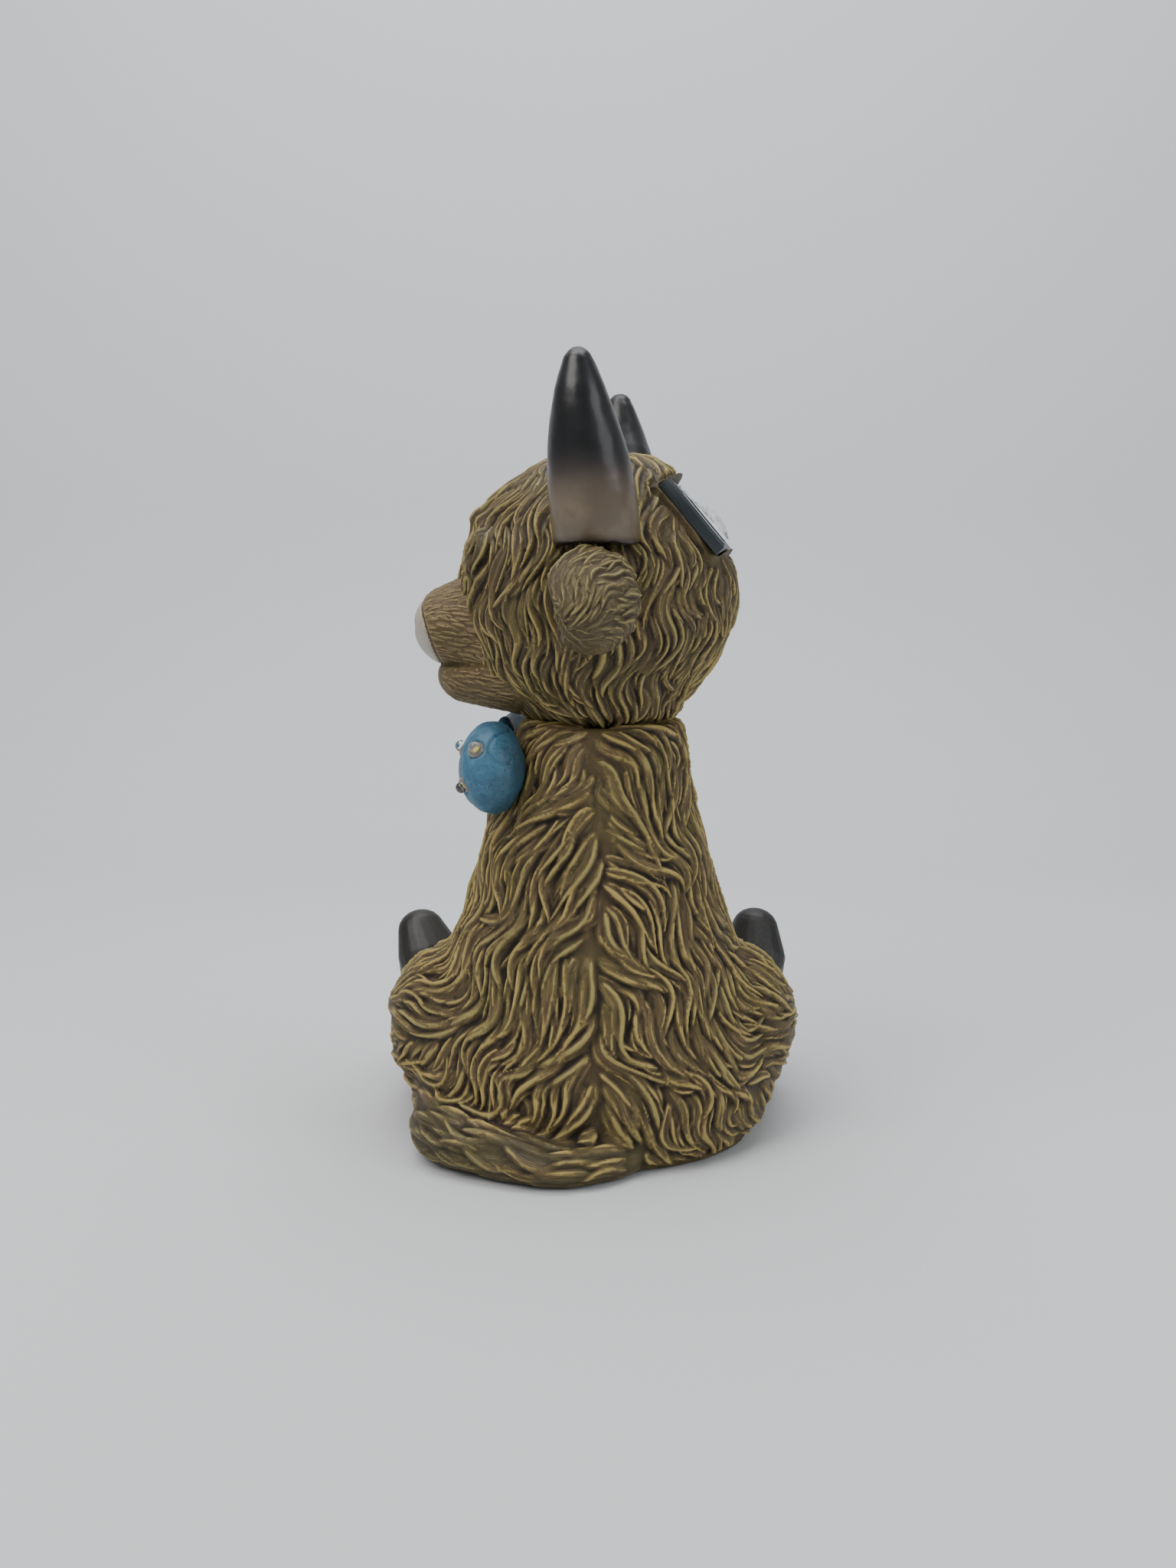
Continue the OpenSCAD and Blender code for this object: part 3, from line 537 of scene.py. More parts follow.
def new_material(name):
    material = bpy.data.materials.new(name)
    material.use_nodes = True
    tree = material.node_tree
    return material, tree, tree.nodes["Principled BSDF"]


class Wires:
    """Short ways to add nodes to a tree."""

    def __init__(self, tree):
        self.tree = tree

    def add(self, kind, **settings):
        node = self.tree.nodes.new(kind)
        for name, value in settings.items():
            setattr(node, name, value)
        return node

    def link(self, a, b):
        self.tree.links.new(a, b)

    def put(self, socket, value):
        if isinstance(value, bpy.types.NodeSocket):
            self.link(value, socket)
        elif value is not None:
            socket.default_value = value

    def math(self, operation, a, b=None, clamp=False):
        node = self.add("ShaderNodeMath", operation=operation, use_clamp=clamp)
        self.put(node.inputs[0], a)
        if b is not None:
            self.put(node.inputs[1], b)
        return node.outputs[0]

    def mix(self, mask, a, b, blend="MIX"):
        node = self.add("ShaderNodeMix", data_type="RGBA", blend_type=blend)
        self.put(node.inputs["Factor"], mask)
        self.put(node.inputs[6], a if isinstance(a, bpy.types.NodeSocket) else (*a, 1))
        self.put(node.inputs[7], b if isinstance(b, bpy.types.NodeSocket) else (*b, 1))
        return node.outputs[2]

    def band(self, value, low, high, out_low=0.0, out_high=1.0):
        node = self.add("ShaderNodeMapRange", interpolation_type="SMOOTHSTEP")
        for socket, v in zip(node.inputs[:5], (value, low, high, out_low, out_high)):
            self.put(socket, v)
        return node.outputs[0]

    def noise(self, vector, scale, detail=3.0, rough=0.55, kind="ShaderNodeTexNoise"):
        node = self.add(kind)
        self.put(node.inputs["Vector"], vector)
        node.inputs["Scale"].default_value = scale
        node.inputs["Detail"].default_value = detail
        node.inputs["Roughness"].default_value = rough
        return node.outputs["Fac"]

    def stretched(self, vector, scale):
        node = self.add("ShaderNodeMapping")
        self.put(node.inputs["Vector"], vector)
        node.inputs["Scale"].default_value = scale
        return node.outputs[0]

    def attribute(self, name, output):
        return self.add("ShaderNodeAttribute", attribute_name=name).outputs[output]

    def place(self):
        return self.add("ShaderNodeTexCoord").outputs["Object"]

    def bump(self, height, strength, distance, normal=None):
        node = self.add("ShaderNodeBump")
        self.put(node.inputs["Height"], height)
        node.inputs["Strength"].default_value = strength
        node.inputs["Distance"].default_value = distance
        if normal is not None:
            self.put(node.inputs["Normal"], normal)
        return node.outputs[0]


def new_group(name, inputs, outputs):
    group = bpy.data.node_groups.new(name, "ShaderNodeTree")
    for label, kind in inputs:
        group.interface.new_socket(label, in_out="INPUT", socket_type=kind)
    for label, kind in outputs:
        group.interface.new_socket(label, in_out="OUTPUT", socket_type=kind)
    return group, group.nodes.new("NodeGroupInput").outputs, group.nodes.new("NodeGroupOutput").inputs


def make_hair_paint_group():
    """Dark wash in the hollows, brown body colour and an ochre dry brush on the ridges."""
    group, given, out = new_group(
        "hair_paint",
        [("Wash", "NodeSocketColor"), ("Body", "NodeSocketColor"), ("Ridge", "NodeSocketColor"),
         ("Ridge Start", "NodeSocketFloat"), ("Ridge End", "NodeSocketFloat")],
        [("Color", "NodeSocketColor"), ("Height", "NodeSocketFloat"), ("Rough", "NodeSocketFloat")])
    w = Wires(group)
    place = w.place()
    paint = w.add("ShaderNodeSeparateColor")
    w.link(w.attribute("paint", "Color"), paint.inputs[0])
    raised, hollow, chance = paint.outputs[0], paint.outputs[1], paint.outputs[2]
    strand = w.attribute("strand", "Vector")
    fine = w.noise(w.stretched(strand, (0.10, 1.9, 1.0)), 1.0, 3.0)
    coarse = w.noise(w.stretched(strand, (0.045, 0.75, 1.0)), 1.0, 2.0)
    patches = w.noise(place, 28.0, 3.0)
    speck = w.noise(place, 900.0, 2.0)
    tints = w.noise(place, 45.0, 2.0)
    body = w.mix(w.band(tints, 0.42, 0.64), given["Body"], w.mix(0.55, given["Body"], (0.105, 0.085, 0.026)))
    body = w.mix(w.math("MULTIPLY", w.band(patches, 0.52, 0.72), 0.5), body, (0.105, 0.058, 0.042))
    body = w.mix(w.band(fine, 0.35, 0.75, 0.0, 0.4), body, given["Ridge"])
    cavity = w.math("ADD", hollow, w.math("MULTIPLY", w.math("SUBTRACT", coarse, 0.5), 0.22))
    colour = w.mix(w.band(cavity, 0.20, 0.60), given["Wash"], body)
    brush = w.math("ADD", raised, w.math("MULTIPLY", w.math("SUBTRACT", fine, 0.5), 0.30))
    brush = w.math("ADD", brush, w.math("MULTIPLY", w.math("SUBTRACT", patches, 0.5), 0.35))
    brush = w.math("ADD", brush, w.math("MULTIPLY", w.math("SUBTRACT", speck, 0.5), 0.16))
    ridge = w.mix(w.band(chance, 0.25, 0.9), given["Ridge"], w.mix(0.5, given["Ridge"], (0.24, 0.225, 0.085)))
    colour = w.mix(w.band(brush, given["Ridge Start"], given["Ridge End"]), colour, ridge)
    w.link(colour, out["Color"])
    w.link(w.math("ADD", w.math("MULTIPLY", fine, 0.8), w.math("MULTIPLY", coarse, 0.5)), out["Height"])
    w.link(w.band(patches, 0.3, 0.7, 0.5, 0.66), out["Rough"])
    return group


def hair_material(name, wash, body, ridge, start=0.56, end=0.78):
    material, tree, shader = new_material(name)
    w = Wires(tree)
    paint = w.add("ShaderNodeGroup", node_tree=hair_paint)
    for label, value in (("Wash", wash), ("Body", body), ("Ridge", ridge)):
        paint.inputs[label].default_value = (*value, 1)
    paint.inputs["Ridge Start"].default_value = start
    paint.inputs["Ridge End"].default_value = end
    w.link(paint.outputs["Color"], shader.inputs["Base Color"])
    w.link(paint.outputs["Rough"], shader.inputs["Roughness"])
    grain = w.noise(w.place(), 1400.0, 2.0)
    normal = w.bump(grain, 0.12, 0.0003)
    w.link(w.bump(paint.outputs["Height"], 0.55, 0.0006, normal), shader.inputs["Normal"])
    shader.inputs["Specular IOR Level"].default_value = 0.35
    return material


hair_paint = make_hair_paint_group()
coat_paint = hair_material(
    "coat_paint", (0.014, 0.008, 0.004),
    (0.088, 0.056, 0.027), (0.42, 0.31, 0.095), 0.54, 0.80)
head_paint = hair_material(
    "head_paint", (0.013, 0.007, 0.004),
    (0.066, 0.042, 0.021), (0.36, 0.275, 0.092), 0.56, 0.84)


def make_cast_skin_group():
    """Mottling, specks and fine pits of hand-painted cast resin."""
    group, given, out = new_group(
        "cast_skin", [("Scale", "NodeSocketFloat")],
        [("Mottle", "NodeSocketFloat"), ("Specks", "NodeSocketFloat"), ("Height", "NodeSocketFloat")])
    w = Wires(group)
    place = w.add("ShaderNodeVectorMath", operation="SCALE")
    w.link(w.place(), place.inputs[0])
    w.link(given["Scale"], place.inputs["Scale"])
    place = place.outputs[0]
    fine = w.noise(place, 1500.0, 2.0)
    pits = w.noise(place, 420.0, 3.0)
    w.link(w.noise(place, 55.0, 5.0, 0.6), out["Mottle"])
    w.link(w.band(w.noise(place, 1100.0, 1.0), 0.63, 0.72), out["Specks"])
    w.link(w.math("ADD", w.math("MULTIPLY", fine, 0.5), w.math("MULTIPLY", pits, 0.7)), out["Height"])
    return group


def make_moulded_grain_group():
    """The tone, gloss and fine grain of moulded plastic, metal or board, with a little dust."""
    group, given, out = new_group(
        "moulded_grain", [("Grain", "NodeSocketFloat"), ("Gloss", "NodeSocketFloat")],
        [("Tone", "NodeSocketFloat"), ("Rough", "NodeSocketFloat"), ("Height", "NodeSocketFloat")])
    w = Wires(group)
    place = w.place()
    grain = w.noise(place, 2200.0, 2.0)
    cloud = w.noise(place, 90.0, 4.0)
    dust = w.band(w.noise(place, 600.0, 4.0, 0.7), 0.56, 0.74)
    w.link(w.math("ADD", w.math("MULTIPLY", cloud, 0.6), w.math("MULTIPLY", dust, 0.4)), out["Tone"])
    w.link(w.math("ADD", given["Gloss"], w.math("MULTIPLY", w.math("ADD", cloud, dust), 0.12)), out["Rough"])
    w.link(w.math("MULTIPLY", grain, given["Grain"]), out["Height"])
    return group


cast_skin = make_cast_skin_group()
moulded_grain = make_moulded_grain_group()


def axis_of(w, vector, axis):
    split = w.add("ShaderNodeSeparateXYZ")
    w.link(vector, split.inputs[0])
    return split.outputs[axis]


def cast_material(name, scale, paint, rough=(0.45, 0.6), pits=0.25, coat=0.0, specular=0.5):
    """Painted cast resin: paint(w, mottle, specks) gives the colour."""
    material, tree, shader = new_material(name)
    w = Wires(tree)
    skin = w.add("ShaderNodeGroup", node_tree=cast_skin)
    skin.inputs["Scale"].default_value = scale
    w.link(paint(w, skin.outputs["Mottle"], skin.outputs["Specks"]), shader.inputs["Base Color"])
    w.link(w.band(skin.outputs["Mottle"], 0.3, 0.7, *rough), shader.inputs["Roughness"])
    w.link(w.bump(skin.outputs["Height"], pits, 0.0004), shader.inputs["Normal"])
    shader.inputs["Coat Weight"].default_value = coat
    shader.inputs["Coat Roughness"].default_value = 0.18
    shader.inputs["Specular IOR Level"].default_value = specular
    return material


def horn_colour(w, mottle, specks):
    """Pale at the foot, dark brown above, with the sprayed edge between them, and painted shade in the crease at
    the very foot.
    """
    foot = HEAD_Z + HORN_FOOT
    rise = w.add("ShaderNodeMapRange")
    for socket, value in zip(rise.inputs[:3], (axis_of(w, w.place(), 2), foot * MM, (foot + 81) * MM)):
        w.put(socket, value)
    level = w.math("ADD", rise.outputs[0], w.math("MULTIPLY", w.math("SUBTRACT", mottle, 0.5), 0.13))
    pale = w.mix(w.band(mottle, 0.35, 0.65), (0.110, 0.078, 0.047), (0.168, 0.127, 0.079))
    pale = w.mix(w.math("MULTIPLY", specks, 0.4), pale, (0.090, 0.065, 0.045))
    warm = w.mix(w.band(level, 0.14, 0.42), pale, (0.050, 0.034, 0.028))
    dark = w.mix(w.band(mottle, 0.3, 0.7), (0.0020, 0.0017, 0.0019), (0.0036, 0.0031, 0.0034))
    # Painted shade in the crease where the horn meets the head
    crease = w.band(w.math("ADD", rise.outputs[0], w.math("MULTIPLY", specks, 0.01)), 0.0, 0.045)
    return w.mix(crease, (0.020, 0.011, 0.007), w.mix(w.band(level, 0.26, 0.48), warm, dark))


def hoof_colour(w, mottle, specks):
    colour = w.mix(w.band(mottle, 0.3, 0.7), (0.0105, 0.0090, 0.0075), (0.0175, 0.0148, 0.0122))
    return w.mix(w.math("MULTIPLY", specks, 0.35), colour, (0.090, 0.080, 0.068))


def bow_colour(w, mottle, specks):
    """Blue, sprayed darker towards the neck, with painted shade there and on the underside, near black where
    deepest, and specks.
    """
    place = w.place()
    # Painted shade: darker towards the neck, under the chin, and lower down on the bow
    neck_shade = w.band(axis_of(w, place, 0), -0.054, -0.026)
    low = w.band(axis_of(w, place, 2), (BOW_Z - 4) * MM, (BOW_Z - 22) * MM)
    shade = w.math("ADD", neck_shade, w.math("MULTIPLY", low, 0.25))
    shade = w.math("ADD", shade, w.math("MULTIPLY", w.math("SUBTRACT", mottle, 0.5), 1.1))
    blue = w.mix(w.band(mottle, 0.36, 0.66), (0.042, 0.150, 0.235), (0.027, 0.106, 0.185))
    blue = w.mix(w.band(w.noise(place, 190.0, 3.0), 0.5, 0.75, 0, 0.6), blue, (0.09, 0.25, 0.36))
    # Painted shade: dark blue, then near black where the shade is deepest
    colour = w.mix(w.band(shade, 0.15, 0.80), blue, (0.022, 0.075, 0.115))
    colour = w.mix(w.band(shade, 0.85, 1.35), colour, (0.014, 0.020, 0.018))
    spots = w.band(w.math("ADD", w.noise(place, 700.0, 2.0), w.math("MULTIPLY", shade, 0.10)), 0.62, 0.72)
    colour = w.mix(w.math("MULTIPLY", spots, 0.75), colour, (0.020, 0.050, 0.068))
    return w.mix(w.math("MULTIPLY", specks, 0.3), colour, (0.15, 0.30, 0.40))


def nose_colour(w, mottle, specks):
    colour = w.mix(w.band(mottle, 0.3, 0.7), (0.30, 0.255, 0.205), (0.40, 0.355, 0.30))
    return w.mix(w.math("MULTIPLY", specks, 0.3), colour, (0.30, 0.22, 0.16))


def base_colour(w, mottle, specks):
    colour = w.mix(w.band(mottle, 0.3, 0.7), (0.13, 0.085, 0.05), (0.22, 0.16, 0.10))
    return w.mix(w.math("MULTIPLY", specks, 0.5), colour, (0.36, 0.31, 0.22))


def moulded_material(name, dark, pale, gloss, grain=1.0, metallic=0.0, specular=0.5):
    material, tree, shader = new_material(name)
    w = Wires(tree)
    skin = w.add("ShaderNodeGroup", node_tree=moulded_grain)
    skin.inputs["Grain"].default_value = grain
    skin.inputs["Gloss"].default_value = gloss
    w.link(w.mix(skin.outputs["Tone"], dark, pale), shader.inputs["Base Color"])
    w.link(skin.outputs["Rough"], shader.inputs["Roughness"])
    w.link(w.bump(skin.outputs["Height"], 0.2, 0.0002), shader.inputs["Normal"])
    shader.inputs["Metallic"].default_value = metallic
    shader.inputs["Specular IOR Level"].default_value = specular
    return material


def clear_material(name, tint, rough, ior=1.5):
    material, tree, shader = new_material(name)
    w = Wires(tree)
    cloud = w.noise(w.place(), 800.0, 2.0)
    w.link(w.band(cloud, 0.3, 0.7, rough, rough + 0.08), shader.inputs["Roughness"])
    w.link(w.mix(cloud, tint, (0.98, 0.98, 0.96)), shader.inputs["Base Color"])
    shader.inputs["Transmission Weight"].default_value = 1.0
    shader.inputs["IOR"].default_value = ior
    return material


def cell_material():
    """Dark blue silicon under glass, cut in strips, with thin silver lines."""
    material, tree, shader = new_material("silicon_strips")
    w = Wires(tree)
    turn = w.add("ShaderNodeMapping", vector_type="TEXTURE")
    w.link(w.place(), turn.inputs["Vector"])
    turn.inputs["Location"].default_value = panel_frame.translation * MM
    turn.inputs["Rotation"].default_value = panel_frame.to_euler()
    along, across = axis_of(w, turn.outputs[0], 0), axis_of(w, turn.outputs[0], 1)
    fine = w.math("ABSOLUTE", w.math("SUBTRACT", w.math("FRACT", w.math("MULTIPLY", along, 500.0)), 0.5))
    wide = w.math("ABSOLUTE", w.math("SUBTRACT", w.math("FRACT", w.math("MULTIPLY", across, 85.0)), 0.5))
    lines = w.math("MAXIMUM", w.band(fine, 0.45, 0.49), w.band(wide, 0.44, 0.48))
    crystal = w.noise(w.place(), 260.0, 3.0)
    blue = w.mix(crystal, (0.008, 0.012, 0.040), (0.018, 0.030, 0.090))
    w.link(w.mix(w.math("MULTIPLY", lines, 0.7), blue, (0.38, 0.40, 0.44)), shader.inputs["Base Color"])
    w.link(w.band(crystal, 0.3, 0.7, 0.12, 0.28), shader.inputs["Roughness"])
    shader.inputs["Coat Weight"].default_value = 0.8
    return material


def film_material():
    material, tree, shader = new_material("torn_clear_film")
    w = Wires(tree)
    creases = w.noise(w.place(), 260.0, 5.0, 0.7)
    w.link(w.mix(creases, (0.70, 0.72, 0.73), (0.93, 0.94, 0.95)), shader.inputs["Base Color"])
    w.link(w.band(creases, 0.35, 0.65, 0.22, 0.62), shader.inputs["Alpha"])
    w.link(w.band(creases, 0.3, 0.7, 0.12, 0.35), shader.inputs["Roughness"])
    w.link(w.bump(creases, 0.5, 0.0008), shader.inputs["Normal"])
    return material


def eye_material():
    material, tree, shader = new_material("eye_gloss")
    w = Wires(tree)
    cloud = w.noise(w.place(), 220.0, 3.0)
    w.link(w.mix(cloud, (0.010, 0.006, 0.005), (0.030, 0.016, 0.010)), shader.inputs["Base Color"])
    w.link(w.band(cloud, 0.3, 0.7, 0.05, 0.10), shader.inputs["Roughness"])
    shader.inputs["Coat Weight"].default_value = 1.0
    return material


tail_paint = hair_material(
    "tail_paint", (0.016, 0.010, 0.005),
    (0.060, 0.042, 0.021), (0.28, 0.23, 0.085), 0.54, 0.80)
ear_paint = hair_material(
    "ear_paint", (0.022, 0.010, 0.007),
    (0.080, 0.054, 0.028), (0.30, 0.24, 0.095), 0.52, 0.72)
muzzle_paint = hair_material(
    "muzzle_paint", (0.030, 0.017, 0.009),
    (0.135, 0.090, 0.045), (0.30, 0.22, 0.10), 0.50, 0.66)
horn_lacquer = cast_material("horn_lacquer", 1.0, horn_colour, (0.30, 0.42), 0.10, 0.15)
hoof_lacquer = cast_material("hoof_lacquer", 1.0, hoof_colour, (0.40, 0.52), 0.14, 0.0)
bow_paint = cast_material("bow_paint", 1.3, bow_colour, (0.42, 0.60), 0.30)
nose_paint = cast_material("nose_paint", 1.2, nose_colour, (0.38, 0.50), 0.15)
base_resin = cast_material("base_resin", 1.0, base_colour, (0.55, 0.75), 0.4)
frame_plastic = moulded_material("frame_plastic", (0.012, 0.018, 0.021), (0.040, 0.052, 0.056), 0.30, 1.0)
lamp_clear = clear_material("lamp_clear", (0.90, 0.92, 0.88), 0.03)
lamp_cup = moulded_material("lamp_cup", (0.45, 0.45, 0.42), (0.80, 0.79, 0.74), 0.15, 0.5, 1.0)
lamp_phosphor = moulded_material("lamp_phosphor", (0.80, 0.60, 0.10), (0.90, 0.74, 0.22), 0.5, 1.0)
lamp_glue = cast_material("lamp_glue", 2.0, lambda w, mottle, specks: w.mix(
    mottle, (0.10, 0.085, 0.070), (0.26, 0.25, 0.22)), (0.14, 0.24), 0.15, 0.4)
silicon = cell_material()
torn_film = film_material()
eye_gloss = eye_material()


def painted(obj, *materials):
    obj.data.materials.clear()
    for material in materials:
        obj.data.materials.append(material)
    return obj


# ---------------------------------------------------------------- body and tail

# Stations along the tail's middle: x, y, z and radius
TAIL = curve_through([
    (16, -56, 7.7, 8.0), (-12, -69, 8.3, 9.3), (-40, -60, 11.0, 11.3),
    (-62.2, -44.8, 13.8, 13.7), (-70.3, -27.1, 13.2, 12.6), (-70.3, -11.8, 11.5, 7.1)], 6)
TAIL_WAY = np.gradient(TAIL[:, :3], axis=0)


def off_tail(places):
    """How far places lie from the tail's middle, as a share of its radius there."""
    gap = np.linalg.norm(np.atleast_2d(places)[:, None, :] - TAIL[None, :, :3], axis=2)
    return (gap / TAIL[None, :, 3]).min(1)


def on_tail(p):
    return p[2] < TAIL_TOP and p[0] < TAIL_RIGHT and off_tail(p)[0] < 1.07


def tail_flow(p, normal):
    nearest = np.linalg.norm(TAIL[:, :3] - p, axis=1).argmin()
    way = unit(TAIL_WAY[nearest])
    way = unit(way - normal * np.dot(way, normal))
    return swirl(way, normal, math.radians(12) * soft_noise(p, 20, 4.4))


def make_body():
    bm = casting_copy("body_casting")
    block(bm, (-56, -38, 0), (56, 38, 7))
    ball(bm, (HEAD_X, 0, 184), (30, 31, 10.5))
    body = evened(to_object("body_coat", bm), 2.6, 5)
    evened(body, 0.78, 2)
    spine = [(2 + 2.0 * math.sin(z / 17) + side * 1.5, -70.0, z)
             for z in np.arange(187, 14, -11) for side in (-1, 1)]

    def off_limits(p):
        return p[2] < 1.0 or on_tail(p)

    def sink(places):
        tail = np.clip((1.3 - off_tail(places)) / 0.2, 0, 1) * (places[:, 2] < 36)
        return (2.6 - 0.8 * np.clip((places[:, 2] - 172) / 12, 0, 1)) * (1 - tail) + 0.4 * tail

    comb(
        body.data,
        [dict(flow=body_flow, roots=spine, length=42, half_width=5.2, rise=4.5, stop=on_tail, curl=10)]
        + lock_layers(body_flow, lambda p: not off_limits(p), on_tail, [
            (16, 5.0, 42, 5.0, 4.3, 20000), (12, 4.0, 27, 3.2, 2.6, 20000), (9, 3.4, 27, 4.2, 3.6, 16000, 1.3)])
        + lock_layers(tail_flow, on_tail, None, [(11, 3.2, 30, 3.9, 2.3)]),
        sink=sink, floor=0.0, quiet=lambda places: np.clip(places[:, 2] / 5.0, 0.0, 1))
    thinned(body, MOST_BODY)
    painted(body, coat_paint, tail_paint)
    places, _, _ = mesh_arrays(body.data)
    low = (places[:, 2] < 36) & (places[:, 0] < 24)
    tail = np.zeros(len(places), bool)
    tail[low] = off_tail(places[low]) < 1.10
    for face in body.data.polygons:
        face.material_index = int(all(tail[v] for v in face.vertices))
    return finish_piece(body, "fur_resin", "figure", "body_casting")


# ---------------------------------------------------------------- head

head_back = head_frame.inverted()
panel_back = panel_frame.inverted()


def in_frame(back, places):
    turn = np.array(back)
    return np.asarray(places) @ turn[:3, :3].T + turn[:3, 3]


def by_panel(p, spare=1.5):
    q = panel_back @ Vector(p)
    return q.z > PANEL_SEAT - 4 and abs(q.x) < PANEL_HALF[0] + spare and abs(q.y) < PANEL_HALF[1] + spare


def make_head():
    bm = bmesh.new()
    ball(bm, (0, 0, 0), (HEAD_LENGTH / 2, HEAD_WIDTH / 2, HEAD_HEIGHT / 2), detail=96)
    for v in bm.verts:
        if v.co.x < 0:
            v.co.x *= 0.945 - 0.03 * np.clip(-v.co.z / 40, 0, 1)
    ball(bm, (0, 0, -50), (37.5, 36.5, 14), detail=48)
    for side in (-1, 1):
        ball(bm, (EYE[0] - 4, side * (EYE[1] + 9), EYE[2] + 1), (9, 8.5, 13))
    ball(bm, (EYE[0] - 3, 0, EYE[2] + 16), (11, 27, 9))
    bmesh.ops.transform(bm, matrix=head_frame, verts=bm.verts)
    head = evened(to_object("head_coat", bm), 1.0, 8)
    cut = bmesh.new()
    block(cut, (-PANEL_HALF[0] - 0.8, -PANEL_HALF[1] - 1.2, PANEL_SEAT - 0.3),
          (PANEL_HALF[0] + 0.8, PANEL_HALF[1] + 1.2, PANEL_SEAT + 40), panel_frame)
    cutter = to_object("panel_cut", cut)
    pocket = head.modifiers.new("pocket", "BOOLEAN")
    pocket.operation = "DIFFERENCE"
    pocket.object = cutter
    settled(head)
    bpy.data.objects.remove(cutter)
    evened(head, 0.66, 1)

    def quiet(places):
        q = in_frame(panel_back, places)
        outside = np.maximum(np.abs(q[:, 0]) - PANEL_HALF[0], np.abs(q[:, 1]) - PANEL_HALF[1])
        panel = np.where(q[:, 2] > PANEL_SEAT - 3, np.clip((outside - 1.0) / 3.0, 0.0, 1), 1)
        h = in_frame(head_back, places)
        eye = np.minimum(*[np.linalg.norm(h - (EYE[0], side * EYE[1], EYE[2]), axis=1) for side in (-1, 1)])
        return panel * np.clip((eye - 7.5) / 3, 0.05, 1)

    comb(
        head.data,
        lock_layers(head_flow, lambda p: not by_panel(p), by_panel, [
            (16, 5.2, 40, 5.2, 4.3, 18000), (12, 3.9, 26, 3.1, 2.5, 18000), (9, 3.4, 24, 3.8, 3.2, 12000, 1.2)]),
        sink=2.9, quiet=quiet)
    thinned(head, MOST_HEAD)
    painted(head, head_paint)
    return finish_piece(head, "fur_resin", "figure", "head_casting")


def lip_and_jaw():
    """The muzzle's two halves, cut apart at the mouth."""
    bm = bmesh.new()
    lip = (((NOSE_REACH - 19, 0, MOUTH + 17.5), (19, 30, 19)), ((41, 0, MOUTH + 19), (16, 32, 30)))
    jaw = (((NOSE_REACH - 27, 0, MOUTH - 5), (16.5, 24, 13)), ((35, 0, MOUTH - 4), (16, 27.6, 19)))
    parts = ((*lip, MOUTH + 0.45, 1), (*jaw, MOUTH - 0.45, -1))
    for front, back, level, side in parts:
        part = bmesh.new()
        ball(part, *front, detail=48)
        ball(part, *back, detail=48)
        hulled(part)
        pared(part, (0, 0, level), (0, 0, -side))
        joined(bm, part)
    block(bm, (20, -22, MOUTH - 12), (56, 22, MOUTH + 12))
    bmesh.ops.transform(bm, matrix=head_frame, verts=bm.verts)
    return bm


def pad_edge(h):
    """Where the nose pad ends, at a height in the head's frame."""
    return NOSE_REACH - 14.0 + 11.0 * np.clip((h[:, 2] - MOUTH - 2) / 31, 0, 1) ** 1.7


def muzzle_flow(p, normal):
    way = np.array((head_frame.to_3x3() @ Vector((-1, 0, -0.12))))
    return swirl(unit(way - normal * np.dot(way, normal)), normal, math.radians(14) * soft_noise(p, 9, 2.2))


def make_muzzle():
    muzzle = evened(to_object("muzzle", lip_and_jaw()), 0.52, 6)

    def quiet(places):
        h = in_frame(head_back, places)
        off_pad = np.clip((pad_edge(h) - 0.6 - h[:, 0]) / 1.2, 0, 1)
        return off_pad * np.clip(np.abs(h[:, 2] - MOUTH) / 3, 0.15, 1)

    def carve(places):
        h = in_frame(head_back, places)
        crease = 0.8 * np.exp(-((h[:, 0] - pad_edge(h)) / 0.7) ** 2) * (h[:, 2] > MOUTH)
        off = np.hypot((np.abs(h[:, 1]) - 11) / 4.6, (h[:, 2] - MOUTH - 17 - 0.35 * (np.abs(h[:, 1]) - 11)) / 3.0)
        return crease + 3.6 * np.exp(-off ** 4) * (h[:, 0] > NOSE_REACH - 12)

    comb(muzzle.data, [dict(
        flow=muzzle_flow, allowed=lambda p: (head_back @ Vector(p)).x > 44, along=5.0, across=1.6, length=10,
        half_width=1.2, rise=0.85, tries=16000)], sink=0.3, quiet=quiet, carve=carve, spread=3)
    thinned(muzzle, MOST_MUZZLE)
    painted(muzzle, muzzle_paint, nose_paint)
    places, _, _ = mesh_arrays(muzzle.data)
    h = in_frame(head_back, places)
    pad = (h[:, 0] > pad_edge(h)) & (h[:, 2] > MOUTH)
    for face in muzzle.data.polygons:
        face.material_index = int(all(pad[v] for v in face.vertices))
    return finish_piece(muzzle, "fur_resin", "figure", "head_casting")


